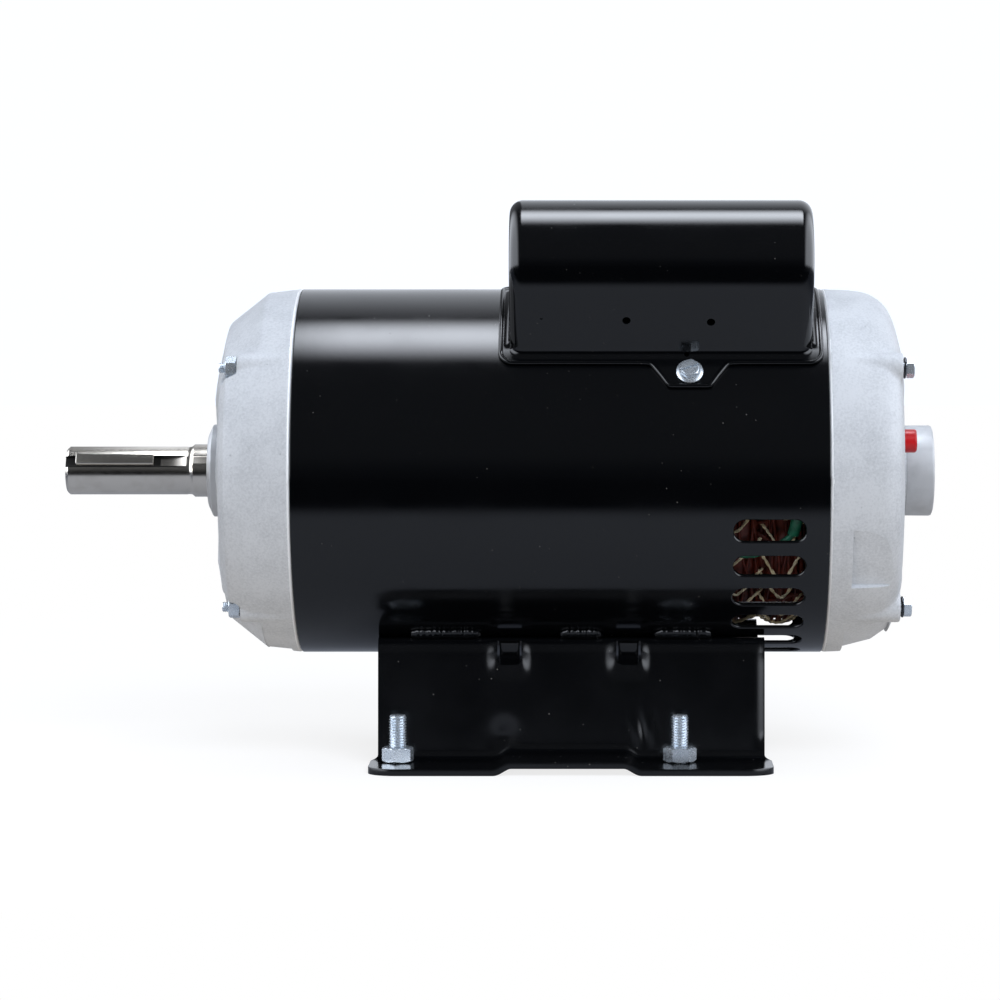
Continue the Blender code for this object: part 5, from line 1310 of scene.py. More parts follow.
def rear_bell() -> RearBell:
    """Set up the rear bell with its sizes.

    Returns:
        The bell.
    """
    nose = [(36.7, 24.5), (36.7, 19.5), (38.2, 19.5), (38.2, 20.6), (50.6, 20.6), (51.0, 20.0), (51.0, 0.6),
            (48.3, 0.6), (48.3, 17.8), (30.0, 17.8), (30.0, 22.5), (31.7, 24.5)]
    return RearBell(
        name="rear_bell_casting", node="rear_end_bell", joint=REAR_JOINT, side=1, depth=36.7 * MM,
        seat=33.2 * MM,
        low=in_mm([(19.0, 1.2), (10.0, 5.5), (5.0, 12.7), (1.4, 25.0)]),
        low_inside=in_mm([(1.4, 27.5), (5.0, 16.5), (14.0, 6.4)]),
        flank=in_mm([(15.0, 1.0), (7.5, 4.0), (4.6, 8.0), (2.9, 16.0)]),
        flank_inside=in_mm([(2.2, 25.0), (4.2, 12.5), (11.0, 6.9)]),
        nose=in_mm(nose), domed=True)


@dataclass
class Hubs:
    """Machined hub faces of both bells: a ring at the drive end and a thin sleeve at the rear."""

    radius: float = 21.0 * MM
    drive_face: float = -129.5 * MM
    drive_tip: float = -134.6 * MM
    drive_bore: float = 12.8 * MM
    rear_face: float = 186.0 * MM
    rear_tip: float = 200.65 * MM

    def build(self) -> None:
        """Add the ring and the sleeve, each from places along the shaft and radii."""
        r = self.radius
        tip = self.drive_tip
        ring = [(self.drive_face + 0.5 * MM, r + 0.4 * MM), (tip + 2.2 * MM, r + 0.4 * MM),
                (tip + 1.7 * MM, r - 0.1 * MM), (tip + 0.3 * MM, 17.8 * MM), (tip, 17.2 * MM),
                (tip, 14.2 * MM), (tip + 1.2 * MM, 13.4 * MM), (tip + 1.2 * MM, self.drive_bore),
                (self.drive_face + 0.5 * MM, self.drive_bore)]
        place = axial(0.0, 0.0, 0.0)
        piece("drive_hub_ring", moved(turned(ring, 120, loop=True), place), HUB_METAL, Body.FRAME)
        face, end = self.rear_face, self.rear_tip
        cap = [(face - 0.4 * MM, r + 1.2 * MM), (face + 0.5 * MM, r + 0.2 * MM),
               (face + 0.9 * MM, r - 0.9 * MM), (face + 1.5 * MM, r - 0.9 * MM),
               (face + 1.9 * MM, r - 0.1 * MM), (end - 1.4 * MM, r), (end - 0.5 * MM, r - 0.35 * MM),
               (end, r - 1.4 * MM), (end, 4.0 * MM), (end - 0.5 * MM, 2.0 * MM), (end - 0.6 * MM, 0.2 * MM),
               (end - 1.2 * MM, 0.2 * MM), (end - 1.2 * MM, 19.3 * MM), (face - 0.4 * MM, 19.3 * MM)]
        piece("rear_hub_cap", moved(turned(cap, 120, loop=True), place), HUB_METAL, Body.FRAME)


@dataclass
class ThroughBolts:
    """Long bolts with split washers at the rear and nuts at the drive end."""

    diameter: float = 4.8 * MM
    pitch: float = 0.8 * MM
    washer_face: float = 182.8 * MM
    head_face: float = 184.2 * MM
    head_across: float = 8.0 * MM
    head_height: float = 3.4 * MM
    nut_face: float = -116.3 * MM
    nut_across: float = 9.0 * MM
    nut_height: float = 5.0 * MM
    tip: float = -124.3 * MM
    thread_reach: float = 12.0 * MM
    washer_diameter: float = 9.6 * MM
    washer_bore: float = 2.7 * MM

    def washer(self) -> Mesh:
        """Make a split lock washer with a slight twist.

        Returns:
            The mesh.
        """
        rows = []
        large, rise, gap = self.washer_diameter / 2, 0.25 * MM, 6.0
        for share in spread(0.0, 1.0, 60):
            turn = math.radians(gap + (360.0 - 2 * gap) * share)
            lift = rise * (share - 0.5)
            rows.append([Vector((r * math.cos(turn), r * math.sin(turn), z + lift))
                         for r, z in ((self.washer_bore, 0.15 * MM), (large - 0.2 * MM, 0.15 * MM),
                                      (large, 0.3 * MM), (large, 0.85 * MM), (large - 0.2 * MM, 1.0 * MM),
                                      (self.washer_bore, 1.0 * MM))])
        return woven(rows, caps=True)

    def build(self) -> None:
        """Add the four sets."""
        for index, angle in enumerate(BOLT_ANGLES, start=1):
            place = axial(0.0, BOLT_CIRCLE, angle)
            spin = place @ Matrix.Rotation(math.radians(13.0 * index), 4, 'Z')
            radius = self.diameter / 2
            run = self.nut_face + self.thread_reach
            plain = turned([(run, radius), (self.head_face + 1.0 * MM, radius)], 28)
            thread = threaded(radius, self.pitch, self.tip, run + 0.2 * MM, 0.7 * MM, flip=True)
            head = moved(hex_form(self.head_across, self.head_height, 0.0, False),
                         Matrix.Translation((0, 0, self.head_face)))
            piece(f"bolt_{index}", moved(joined([plain, thread, head]), spin), ZINC, Body.FRAME,
                  [f"through_bolt_{index}"])
            nut = moved(hex_form(self.nut_across, self.nut_height, radius + 0.1 * MM, True),
                        Matrix.Translation((0, 0, self.nut_face - self.nut_height)))
            piece(f"bolt_nut_{index}", moved(nut, spin), ZINC, Body.FRAME, [f"through_nut_{index}"])
            washer = moved(self.washer(), spin @ Matrix.Translation((0, 0, self.washer_face)))
            piece(f"split_washer_{index}", washer, SPRING, Body.FRAME, [f"through_washer_{index}"])


@dataclass
class Shaft:
    """Stepped shaft with its keyway and key."""

    radius: float = 11.1125 * MM
    tip: float = -200.7 * MM
    shoulder: float = -142.0 * MM
    seat_radius: float = 12.2 * MM
    key_angle: float = 27.5
    key_width: float = 4.76 * MM
    key_start: float = -195.5 * MM
    key_length: float = 36.0 * MM
    key_sink: float = 2.4 * MM
    way_length: float = 44.0 * MM
    cutter_radius: float = 36.0 * MM
    key_fit: float = 0.15 * MM
    steps: Pairs = ((-106.0, 15.0), (120.0, 12.0), (150.3, 9.5), (183.3, 7.2))
    rear_tip: float = 195.2 * MM
    rear_edge: float = 1.2 * MM

    def build(self) -> None:
        """Add the shaft and its key."""
        r, tip, seat = self.radius, self.tip, self.seat_radius
        profile = [(tip + 1.6 * MM, 0.2 * MM), (tip + 1.6 * MM, 1.0 * MM), (tip, 2.6 * MM),
                   (tip, r - 1.4 * MM), (tip + 0.5 * MM, r - 0.75 * MM), (tip + 1.4 * MM, r),
                   (self.shoulder - 3.2 * MM, r),
                   (self.shoulder - 2.6 * MM, r - 0.12 * MM), (self.shoulder - 1.4 * MM, r - 0.12 * MM),
                   (self.shoulder - 0.8 * MM, r), (self.shoulder, seat - 0.5 * MM),
                   (self.shoulder + 0.5 * MM, seat)]
        radius = seat
        for x, after in in_mm(self.steps):
            profile += [(x, radius), (x, after)]
            radius = after
        profile += [(self.rear_tip - self.rear_edge, radius), (self.rear_tip, radius - self.rear_edge),
                    (self.rear_tip, 0.2 * MM)]
        mesh = moved(turned(profile, 128), axial(0.0, 0.0, 0.0))
        floor = r - self.key_sink
        run_end = tip + self.way_length
        sweep = math.acos(1.0 - 2 * self.key_sink / self.cutter_radius)
        side = [(tip - r, floor)]
        side += [(run_end + self.cutter_radius * math.sin(a),
                  floor + self.cutter_radius * (1.0 - math.cos(a))) for a in spread(0.0, sweep, 24)]
        side.append((tip - r, floor + 2 * self.key_sink))
        half = self.key_width / 2
        place = radial(0.0, 0.0, self.key_angle)
        wide = half + self.key_fit
        cutter = woven([[Vector((x, across, z)) for x, z in side] for across in (-wide, wide)], caps=True)
        mesh = carved(mesh, [moved(cutter, place)])
        shaft = piece("turned_shaft", mesh, STEEL, Body.ROTOR, ["shaft"], sharp=28.0)
        # The keyway's walls and flat floor take dark steel as painted shade; the run-out keeps the bright
        # steel.
        shaft.data.materials.append(KEYWAY_SHADE_STEEL.material())
        for polygon in shaft.data.polygons:
            middle = place.inverted() @ polygon.center
            within = tip < middle.x < run_end and abs(middle.y) < 0.6 * self.key_width
            if within and floor - 0.1 * MM < middle.z < r - 0.3 * MM:
                polygon.material_index = 1
        low, start, end = floor + self.key_fit, self.key_start, self.key_start + self.key_length
        corners = ((start, low), (end, low), (end, low + self.key_width), (start, low + self.key_width))
        rows = [[Vector((x, across, z)) for x, z in corners] for across in (-half, half)]
        key = worked(woven(rows, caps=True), ("BEVEL", {"width": 0.3 * MM, "segments": 3}))
        piece("square_key", moved(key, place), STEEL, Body.ROTOR, ["shaft_key"], sharp=40.0)


@dataclass
class Cover:
    """Drawn capacitor cover with its lip, screw tabs and holes."""

    angle: float = 60.0
    start: float = 6.2 * MM
    end: float = 141.7 * MM
    radius: float = 28.5 * MM
    centre: float = 111.0 * MM
    skin: float = 85.7 * MM
    edge: float = 6.0 * MM
    fillet: float = 3.2 * MM
    lip: float = 4.0 * MM
    corner: float = 5.5 * MM
    tab_x: float = 86.6 * MM
    tab_top: float = 17.0 * MM
    tab_tip: float = 9.0 * MM
    tab_reach: float = 43.4 * MM
    wall: float = 1.15 * MM
    screw_angles: tuple[float, float] = (34.0, 86.0)
    screw_hole: float = 2.4 * MM
    holes: tuple[Four, ...] = ((58.4, 98.4, 1.85, 6.0), (96.0, 97.6, 1.85, 6.0), (20.6, 99.5, 0.6, 0.5))
    drain_x: float = 85.4 * MM
    drain_line: Pairs = ((-34.0, 86.0), (-25.0, 77.0))
    drain_radius: float = 1.1 * MM
    bead: float = 1.1 * MM
    stretch: int = 112

    def point(self, x: float, across: float, height: float) -> Vector:
        """Point from its place across the cover and out from the shaft."""
        return on_axis(x, math.hypot(across, height), self.angle + math.degrees(math.atan2(across, height)))

    def lip_reach(self, x: float) -> float:
        """How far the lip's edge lies from the cover's middle plane.

        Args:
            x: Place along the shaft.

        Returns:
            The distance.
        """
        plain = self.radius + self.lip
        from_end = min(x - (self.start - self.lip), (self.end + self.lip) - x)
        if from_end < self.corner:
            return plain - self.corner + math.sqrt(max(0.0, self.corner ** 2 - (self.corner - from_end) ** 2))
        away = abs(x - self.tab_x)
        share = (self.tab_top - away) / (self.tab_top - self.tab_tip)
        soft = 0.5 * (share + math.sqrt(share * share + 0.02)) if share < 0.5 else share
        soft = min(soft, 1.0 - 0.5 * max(0.0, 0.15 - abs(soft - 1.0)) ** 2)
        if away >= 1.3 * self.tab_top:
            return plain
        return plain + (self.tab_reach - plain) * min(1.0, max(0.0, soft))

    def half_section(self, x: float, inset: float) -> list[Vector]:
        """Half section as places across and out, from the crown to the lip's edge.

        Args:
            x: Place along the shaft.
            inset: How far the walls stand in, at the ends.

        Returns:
            The points.
        """
        width = self.radius - inset
        points = [Vector((width * math.cos(a), self.centre + width * math.sin(a), 0.0))
                  for a in spread(math.pi / 2, 0.0, 26)]
        foot = math.sqrt(self.skin ** 2 - width ** 2)
        points += [Vector((width, h, 0.0)) for h in spread(self.centre, foot + self.fillet, 20)[1:-1]]
        out = width + self.fillet * 0.9
        points += bezier(Vector((width, foot + self.fillet, 0.0)), Vector((width, foot, 0.0)),
                         Vector((out, math.sqrt(self.skin ** 2 - out ** 2), 0.0)), 7)
        reach = max(out + 0.3 * MM, self.lip_reach(x))
        first, last = math.asin(out / self.skin), math.asin(reach / self.skin)
        points += [Vector((self.skin * math.sin(a), self.skin * math.cos(a), 0.0))
                   for a in spread(first, last, 9)[1:]]
        return points

    def row(self, x: float, inset: float, lift: float) -> list[Vector]:
        """One row of the cover from the near lip to the far lip, at most a lift above the shell.

        Args:
            x: Place along the shaft.
            inset: How far the walls stand in.
            lift: Greatest height above the shell.

        Returns:
            The points.
        """
        row = []
        half = self.half_section(x, inset)
        for sign, points in ((-1.0, half[::-1]), (1.0, half[1:])):
            for p in points:
                ground = math.sqrt(self.skin ** 2 - p.x ** 2)
                row.append(self.point(x, sign * p.x, ground + min(p.y - ground, lift)))
        return row

    def stations(self) -> list[tuple[float, float, float]]:
        """Place, inset and lift of each row over the first end.

        Returns:
            The rows, from the lip inwards.
        """
        stations = [(x, self.edge, 0.0) for x in spread(-self.lip, -self.fillet, 3)[:-1]]
        curve = bezier(Vector((-self.fillet, 0.0, 0.0)), Vector(), Vector((0.0, self.fillet, 0.0)), 7)
        stations += [(p.x, self.edge, p.y) for p in curve]
        for turn in spread(0.0, math.pi / 2, 10):
            stations.append((self.edge * (1.0 - math.cos(turn)), self.edge * (1.0 - math.sin(turn)), 1.0))
        return stations

    def build(self) -> None:
        """Add the cover."""
        ends = self.stations()
        rows = [self.row(self.start + x, inset, lift) for x, inset, lift in ends]
        middle = spread(self.start + self.edge, self.end - self.edge, self.stretch)[1:-1]
        rows += [self.row(x, 0.0, 1.0) for x in middle]
        rows += [self.row(self.end - x, inset, lift) for x, inset, lift in reversed(ends)]
        mesh = woven(rows, ring=False)
        mesh = worked(mesh, ("SOLIDIFY", {"thickness": self.wall, "offset": -1.0}))
        cutters = []
        for x, height, size, deep in self.holes:
            line = [self.point(x * MM, -self.radius + go * MM, height * MM) for go in (-6.0, deep)]
            cutters.append(tube(line, size * MM, 24))
        line = [self.point(self.drain_x, across, height) for across, height in in_mm(self.drain_line)]
        cutters.append(tube(line, self.drain_radius, 20))
        for angle in self.screw_angles:
            line = [on_axis(self.tab_x, r * MM, angle) for r in (80.0, 90.0)]
            cutters.append(tube(line, self.screw_hole, 20))
        mesh = carved(mesh, cutters)
        piece("drawn_cover", mesh, ENAMEL, Body.FRAME, ["capacitor_cover"], sharp=38.0)
        piece("cover_rolled_edge", self.rolled_edge(rows), ENAMEL, Body.FRAME, sharp=180.0)
        for name, angle in zip(("near", "far"), self.screw_angles):
            self.screw(name, angle)

    def rolled_edge(self, rows: Sequence[Sequence[Vector]]) -> Mesh:
        """Round bead along the edge of the lip.

        Args:
            rows: Rows of the cover, each from lip to lip.

        Returns:
            The mesh.
        """
        rim = [row[0] for row in rows] + list(rows[-1])
        rim += [row[-1] for row in reversed(rows)] + list(rows[0])[::-1]
        sink, step = 0.3 * MM, 0.4 * MM
        points = []
        for point in rim:
            out = Vector((0.0, point.y, point.z - AXIS_Z)).normalized()
            place = point - out * sink
            if not points or (place - points[-1]).length > step:
                points.append(place)
        return tube(points, self.bead, 12, loop=True)

    def screw(self, name: str, angle: float) -> None:
        """Add one slotted hex screw with its washer face.

        Args:
            name: Side that it is on.
            angle: Its angle.
        """
        seat = self.skin + 0.35 * MM
        flange = turned(in_mm([(0.0, 5.6), (0.25, 6.0), (0.7, 6.0), (1.1, 5.5), (1.5, 4.2)]), 48)
        head = hex_form(8.0 * MM, 3.2 * MM, 0.0, False)
        corners = in_mm([(-5.0, 2.2), (5.0, 2.2), (5.0, 5.0), (-5.0, 5.0)])
        slot = woven([[Vector((x, y, z)) for x, z in corners] for y in (-0.55 * MM, 0.55 * MM)], caps=True)
        head = carved(head, [slot])
        shank = threaded(2.0 * MM, 1.2 * MM, -8.0 * MM, 0.3 * MM, 2.0 * MM, flip=True)
        head.transform(Matrix.Translation((0, 0, 0.9 * MM)))
        place = radial(self.tab_x, seat, angle) @ Matrix.Rotation(math.radians(20.0), 4, 'Z')
        piece(f"cover_bolt_{name}", moved(joined([flange, head, shank]), place), ZINC, Body.FRAME,
              [f"cover_screw_{name}"])


@dataclass
class Base:
    """Stamped and welded base with its feet, notches, studs and nuts."""

    sheet: float = 3.0 * MM
    start: float = -54.0 * MM
    end: float = 121.3 * MM
    half_width: float = 86.5 * MM
    saddle: float = 86.0 * MM
    weld_angle: float = 59.0
    wall_foot: float = 50.0 * MM
    bend: float = 5.5 * MM
    overhang: float = 3.0 * MM
    corner: float = 10.0 * MM
    drive_foot: float = 57.0 * MM
    rear_foot: float = 60.0 * MM
    rise: float = 3.2 * MM
    joggle: float = 7.0 * MM
    notch_centres: tuple[float, float] = (5.5 * MM, 59.6 * MM)
    stud_rows: tuple[float, float] = (-44.4 * MM, 82.6 * MM)
    stud_span: float = 62.0 * MM
    beads: Pairs = ((-40.0, -7.0), (28.0, 48.0), (71.0, 98.0))
    notch_width: float = 11.0 * MM
    notch_height: float = 13.0 * MM
    notch_round: float = 2.5 * MM
    notch_dent: float = 2.0 * MM
    end_curl: float = 1.4 * MM
    dents: tuple[Four, ...] = ((3.5, 13.0, 1.3, 0.0), (66.0, 16.0, 0.5, 7.0))
    nut_across: float = 13.0 * MM
    nut_height: float = 6.6 * MM
    stud_radius: float = 4.0 * MM
    stud_pitch: float = 1.25 * MM

    def dent(self, x: float, height: float) -> float:
        """Find how far the wall is pressed in beside the notches, at its rear end and at the joggles.

        Args:
            x: Place along the base.
            height: Height above the floor.

        Returns:
            The depth.
        """
        pressed = 0.0
        for centre in self.notch_centres:
            away = abs(x - centre) - self.notch_width / 2
            reach = 6.5 * MM if x < centre else 5.5 * MM
            high = smoothstep(38.0 * MM, 47.0 * MM, height)
            pressed += self.notch_dent * smoothstep(reach, 0.0, away) * high
        above_bend = smoothstep(7.0 * MM, 14.0 * MM, height)
        pressed += self.end_curl * smoothstep(4.5 * MM, 0.0, self.end - x) * above_bend
        for spot, rise, deep, fold in self.dents:
            along, up = (x / MM - spot) / 4.0, (height / MM - rise) / 4.5
            wave = math.cos(math.tau * (x / MM - spot) / fold + 0.6 * up) if fold else 1.0
            pressed += deep * MM * math.exp(-0.5 * (along * along + up * up)) * wave
        return pressed

    def lift(self, x: float) -> float:
        """Rise of the flange at a place along the base.

        Args:
            x: Place along the base.

        Returns:
            The rise.
        """
        drive_end = self.start - self.overhang + self.drive_foot
        rear_start = self.end + self.overhang - self.rear_foot
        up = smoothstep(drive_end - MM, drive_end + self.joggle, x)
        down = smoothstep(rear_start - self.joggle, rear_start + MM, x)
        return self.rise * (up - down)

    def half_row(self, x: float) -> list[Vector]:
        """Half section from the middle of the saddle to the edge of the flange.

        Args:
            x: Place along the base.

        Returns:
            The points.
        """
        sweep = math.radians(90.0 - self.weld_angle)
        points = [(self.saddle * math.sin(a), AXIS_Z - self.saddle * math.cos(a))
                  for a in spread(0.0, sweep, 15)]
        edge, height = points.pop()
        shoulder = bezier(Vector((*points[-1], 0.0)), Vector((edge + 1.0 * MM, height, 0.0)),
                          Vector((edge + 2.6 * MM, height - 5.0 * MM, 0.0)), 8)
        points += [(p.x, p.y) for p in shoulder[1:]]
        flange = self.sheet / 2 + self.lift(x)
        top = (self.wall_foot, flange + self.bend)
        last = points[-1]
        points += [(last[0] + (top[0] - last[0]) * t, last[1] + (top[1] - last[1]) * t)
                   for t in spread(0.0, 1.0, 26)[1:]]
        points += [(self.wall_foot + self.bend * (1.0 - math.cos(a)),
                    flange + self.bend * (1.0 - math.sin(a)))
                   for a in spread(0.0, math.pi / 2, 9)[1:]]
        from_end = min(x - self.start, self.end - x)
        share = max(0.0, 1.0 - from_end / self.corner)
        pulled = self.corner * (1.0 - math.sqrt(max(0.0, 1.0 - share ** 2)))
        inner = points[-1][0]
        flange_points = [(s, flange) for s in spread(inner, self.half_width - pulled, 12)[1:]]
        outward = -1.0 if x - self.start < self.end - x else 1.0
        shift = outward * self.overhang * share
        bend_points, dents_from, dents_full = 6, 14, 23
        wall_count = len(points) - bend_points
        row = []
        for index, (s, h) in enumerate(points + flange_points):
            part = smoothstep(wall_count, wall_count + bend_points, index)
            pressed = 0.0
            if index < len(points):
                pressed = self.dent(x, h) * smoothstep(dents_from, dents_full, index)
            row.append(Vector((x + shift * part, s - pressed, h)))
        return row

    def stations(self) -> list[float]:
        """List the places along the base, closer at its corners.

        Returns:
            The places.
        """
        corner = [self.corner * (1.0 - math.cos(a)) for a in spread(0.0, math.pi / 2, 8)]
        inner = spread(self.start + self.corner, self.end - self.corner, 200)[1:-1]
        return [self.start + c for c in corner] + inner + [self.end - c for c in reversed(corner)]

    def notch(self, x: float, side: int) -> Mesh:
        """Make the cutter of one notch in the top of a wall.

        Args:
            x: Middle of the notch.
            side: -1 near or 1 far.

        Returns:
            The cutter.
        """
        weld = math.radians(self.weld_angle)
        top = AXIS_Z - self.saddle * math.sin(weld) + 1.0 * MM
        wall = self.saddle * math.cos(weld)
        outline = []
        half, corner = self.notch_width / 2, self.notch_round
        for middle, start in ((x - half + corner, math.pi), (x + half - corner, 1.5 * math.pi)):
            outline += [(middle + corner * math.cos(turn),
                         top - self.notch_height + corner + corner * math.sin(turn))
                        for turn in spread(start, start + math.pi / 2, 6)]
        outline += [(x + half, top - 2.2 * MM), (x - half, top - 2.2 * MM)]
        return woven([[Vector((u, side * across, v)) for u, v in outline]
                      for across in (wall - 3.5 * MM, wall + 14.0 * MM)], caps=True)

    def build(self) -> None:
        """Add the base, its welds, studs and nuts."""
        rows = []
        for x in self.stations():
            half = self.half_row(x)
            rows.append(half[::-1] + [Vector((p.x, -p.y, p.z)) for p in half[1:]])
        mesh = worked(woven(rows, ring=False),
                      ("SOLIDIFY", {"thickness": self.sheet, "offset": 0.0}))
        mesh = carved(mesh, [self.notch(x, side) for x in self.notch_centres for side in (-1, 1)])
        mesh = carved(mesh, [tube([Vector((x, y, -2.0 * MM)), Vector((x, y, 9.0 * MM))], 4.3 * MM, 32)
                             for x, y in self.stud_places()])
        mesh = worked(mesh, ("BEVEL", {"width": 0.8 * MM, "segments": 3, "limit_method": 'ANGLE',
                                       "angle_limit": math.radians(50.0)}))
        piece("stamped_base", mesh, BASE_ENAMEL, Body.FRAME, ["base"], sharp=40.0)
        self.tabs()
        self.welds()
        self.studs()

    def stud_places(self) -> list[tuple[float, float]]:
        """X and Y of the four studs."""
        return [(x, side * self.stud_span) for x in self.stud_rows for side in (-1, 1)]

    def tabs(self) -> None:
        """Add the tabs bent in behind the notches."""
        weld = math.radians(self.weld_angle)
        top = AXIS_Z - self.saddle * math.sin(weld) - 1.5 * MM
        wall = self.saddle * math.cos(weld)
        tabs = []
        for x in self.notch_centres:
            for side in (-1, 1):
                rows = []
                for t in spread(0.0, 1.0, 8):
                    across, height = wall - 3.0 * MM - 5.0 * MM * t ** 1.5, top - 13.5 * MM * t
                    rows.append([Vector((x + w, side * across, height))
                                 for w in spread(-4.6 * MM, 4.6 * MM, 5)])
                tabs.append(worked(woven(rows, ring=False),
                                   ("SOLIDIFY", {"thickness": 2.0 * MM, "offset": 0.0}),
                                   ("BEVEL", {"width": 0.4 * MM, "segments": 2, "limit_method": 'ANGLE'})))
        piece("saddle_tabs", joined(tabs), ENAMEL, Body.FRAME, sharp=40.0)

    def welds(self) -> None:
        """Add the weld beads along both edges of the saddle."""
        chance = random.Random(11)
        step_mm, rise, width, sides = 0.7, 1.9 * MM, 4.0, 12
        beads = []
        for start, end in self.beads:
            for side in (-1, 1):
                degrees = -self.weld_angle if side < 0 else 180.0 + self.weld_angle
                count = round((end - start) / step_mm)
                rows = []
                for step in range(count + 1):
                    x = (start + (end - start) * step / count) * MM
                    from_end = min(step, count - step) * step_mm
                    size = min(1.0, math.sqrt(max(0.02, from_end / 3.0)))
                    ripple = 1.0 + 0.16 * abs(math.sin(step * 0.9)) + chance.uniform(-0.12, 0.12)
                    row = []
                    for turn in [math.tau * k / sides for k in range(sides)]:
                        across = (width * size * ripple * math.sin(turn) - 1.2) * MM / SHELL_RADIUS
                        row.append(on_axis(x, SHELL_RADIUS + 0.8 * MM + rise * size * ripple * math.cos(turn),
                                           degrees + side * math.degrees(across)))
                    rows.append(row)
                beads.append(woven(rows, caps=True))
        piece("weld_beads", joined(beads), ENAMEL, Body.FRAME, sharp=60.0)

    def studs(self) -> None:
        """Add the pressed studs and their nuts."""
        for index, (x, y) in enumerate(self.stud_places(), start=1):
            spot = Matrix.Translation((x, y, 0.0)) @ Matrix.Rotation(math.radians(21.0 * index), 4, 'Z')
            low = self.sheet + 0.3 * MM
            head = turned(in_mm([(0.3, 5.2), (0.35, 5.3), (1.6, 5.3), (1.6, 3.9)]), 32)
            rod = threaded(self.stud_radius, self.stud_pitch, 1.5 * MM, low + self.nut_height + 14.5 * MM,
                           1.0 * MM)
            piece(f"stud_{index}", moved(joined([head, rod]), spot), ZINC, Body.FRAME, [f"base_stud_{index}"])
            nut = hex_form(self.nut_across, self.nut_height, self.stud_radius + 0.15 * MM, True)
            piece(f"stud_nut_{index}", moved(nut, spot @ Matrix.Translation((0, 0, low))), ZINC, Body.FRAME,
                  [f"base_nut_{index}"])


@dataclass(frozen=True)
class CoilRing:
    """Ring of end turns with an oval section."""

    centre: float
    radius: float
    half_length: float
    half_height: float

    def point(self, along: float, grow: float, degrees: float) -> Vector:
        """Point on the ring, at an angle round its section and round the shaft."""
        return on_axis(self.centre + (self.half_length + grow) * math.cos(along),
                       self.radius + (self.half_height + grow) * math.sin(along), degrees)


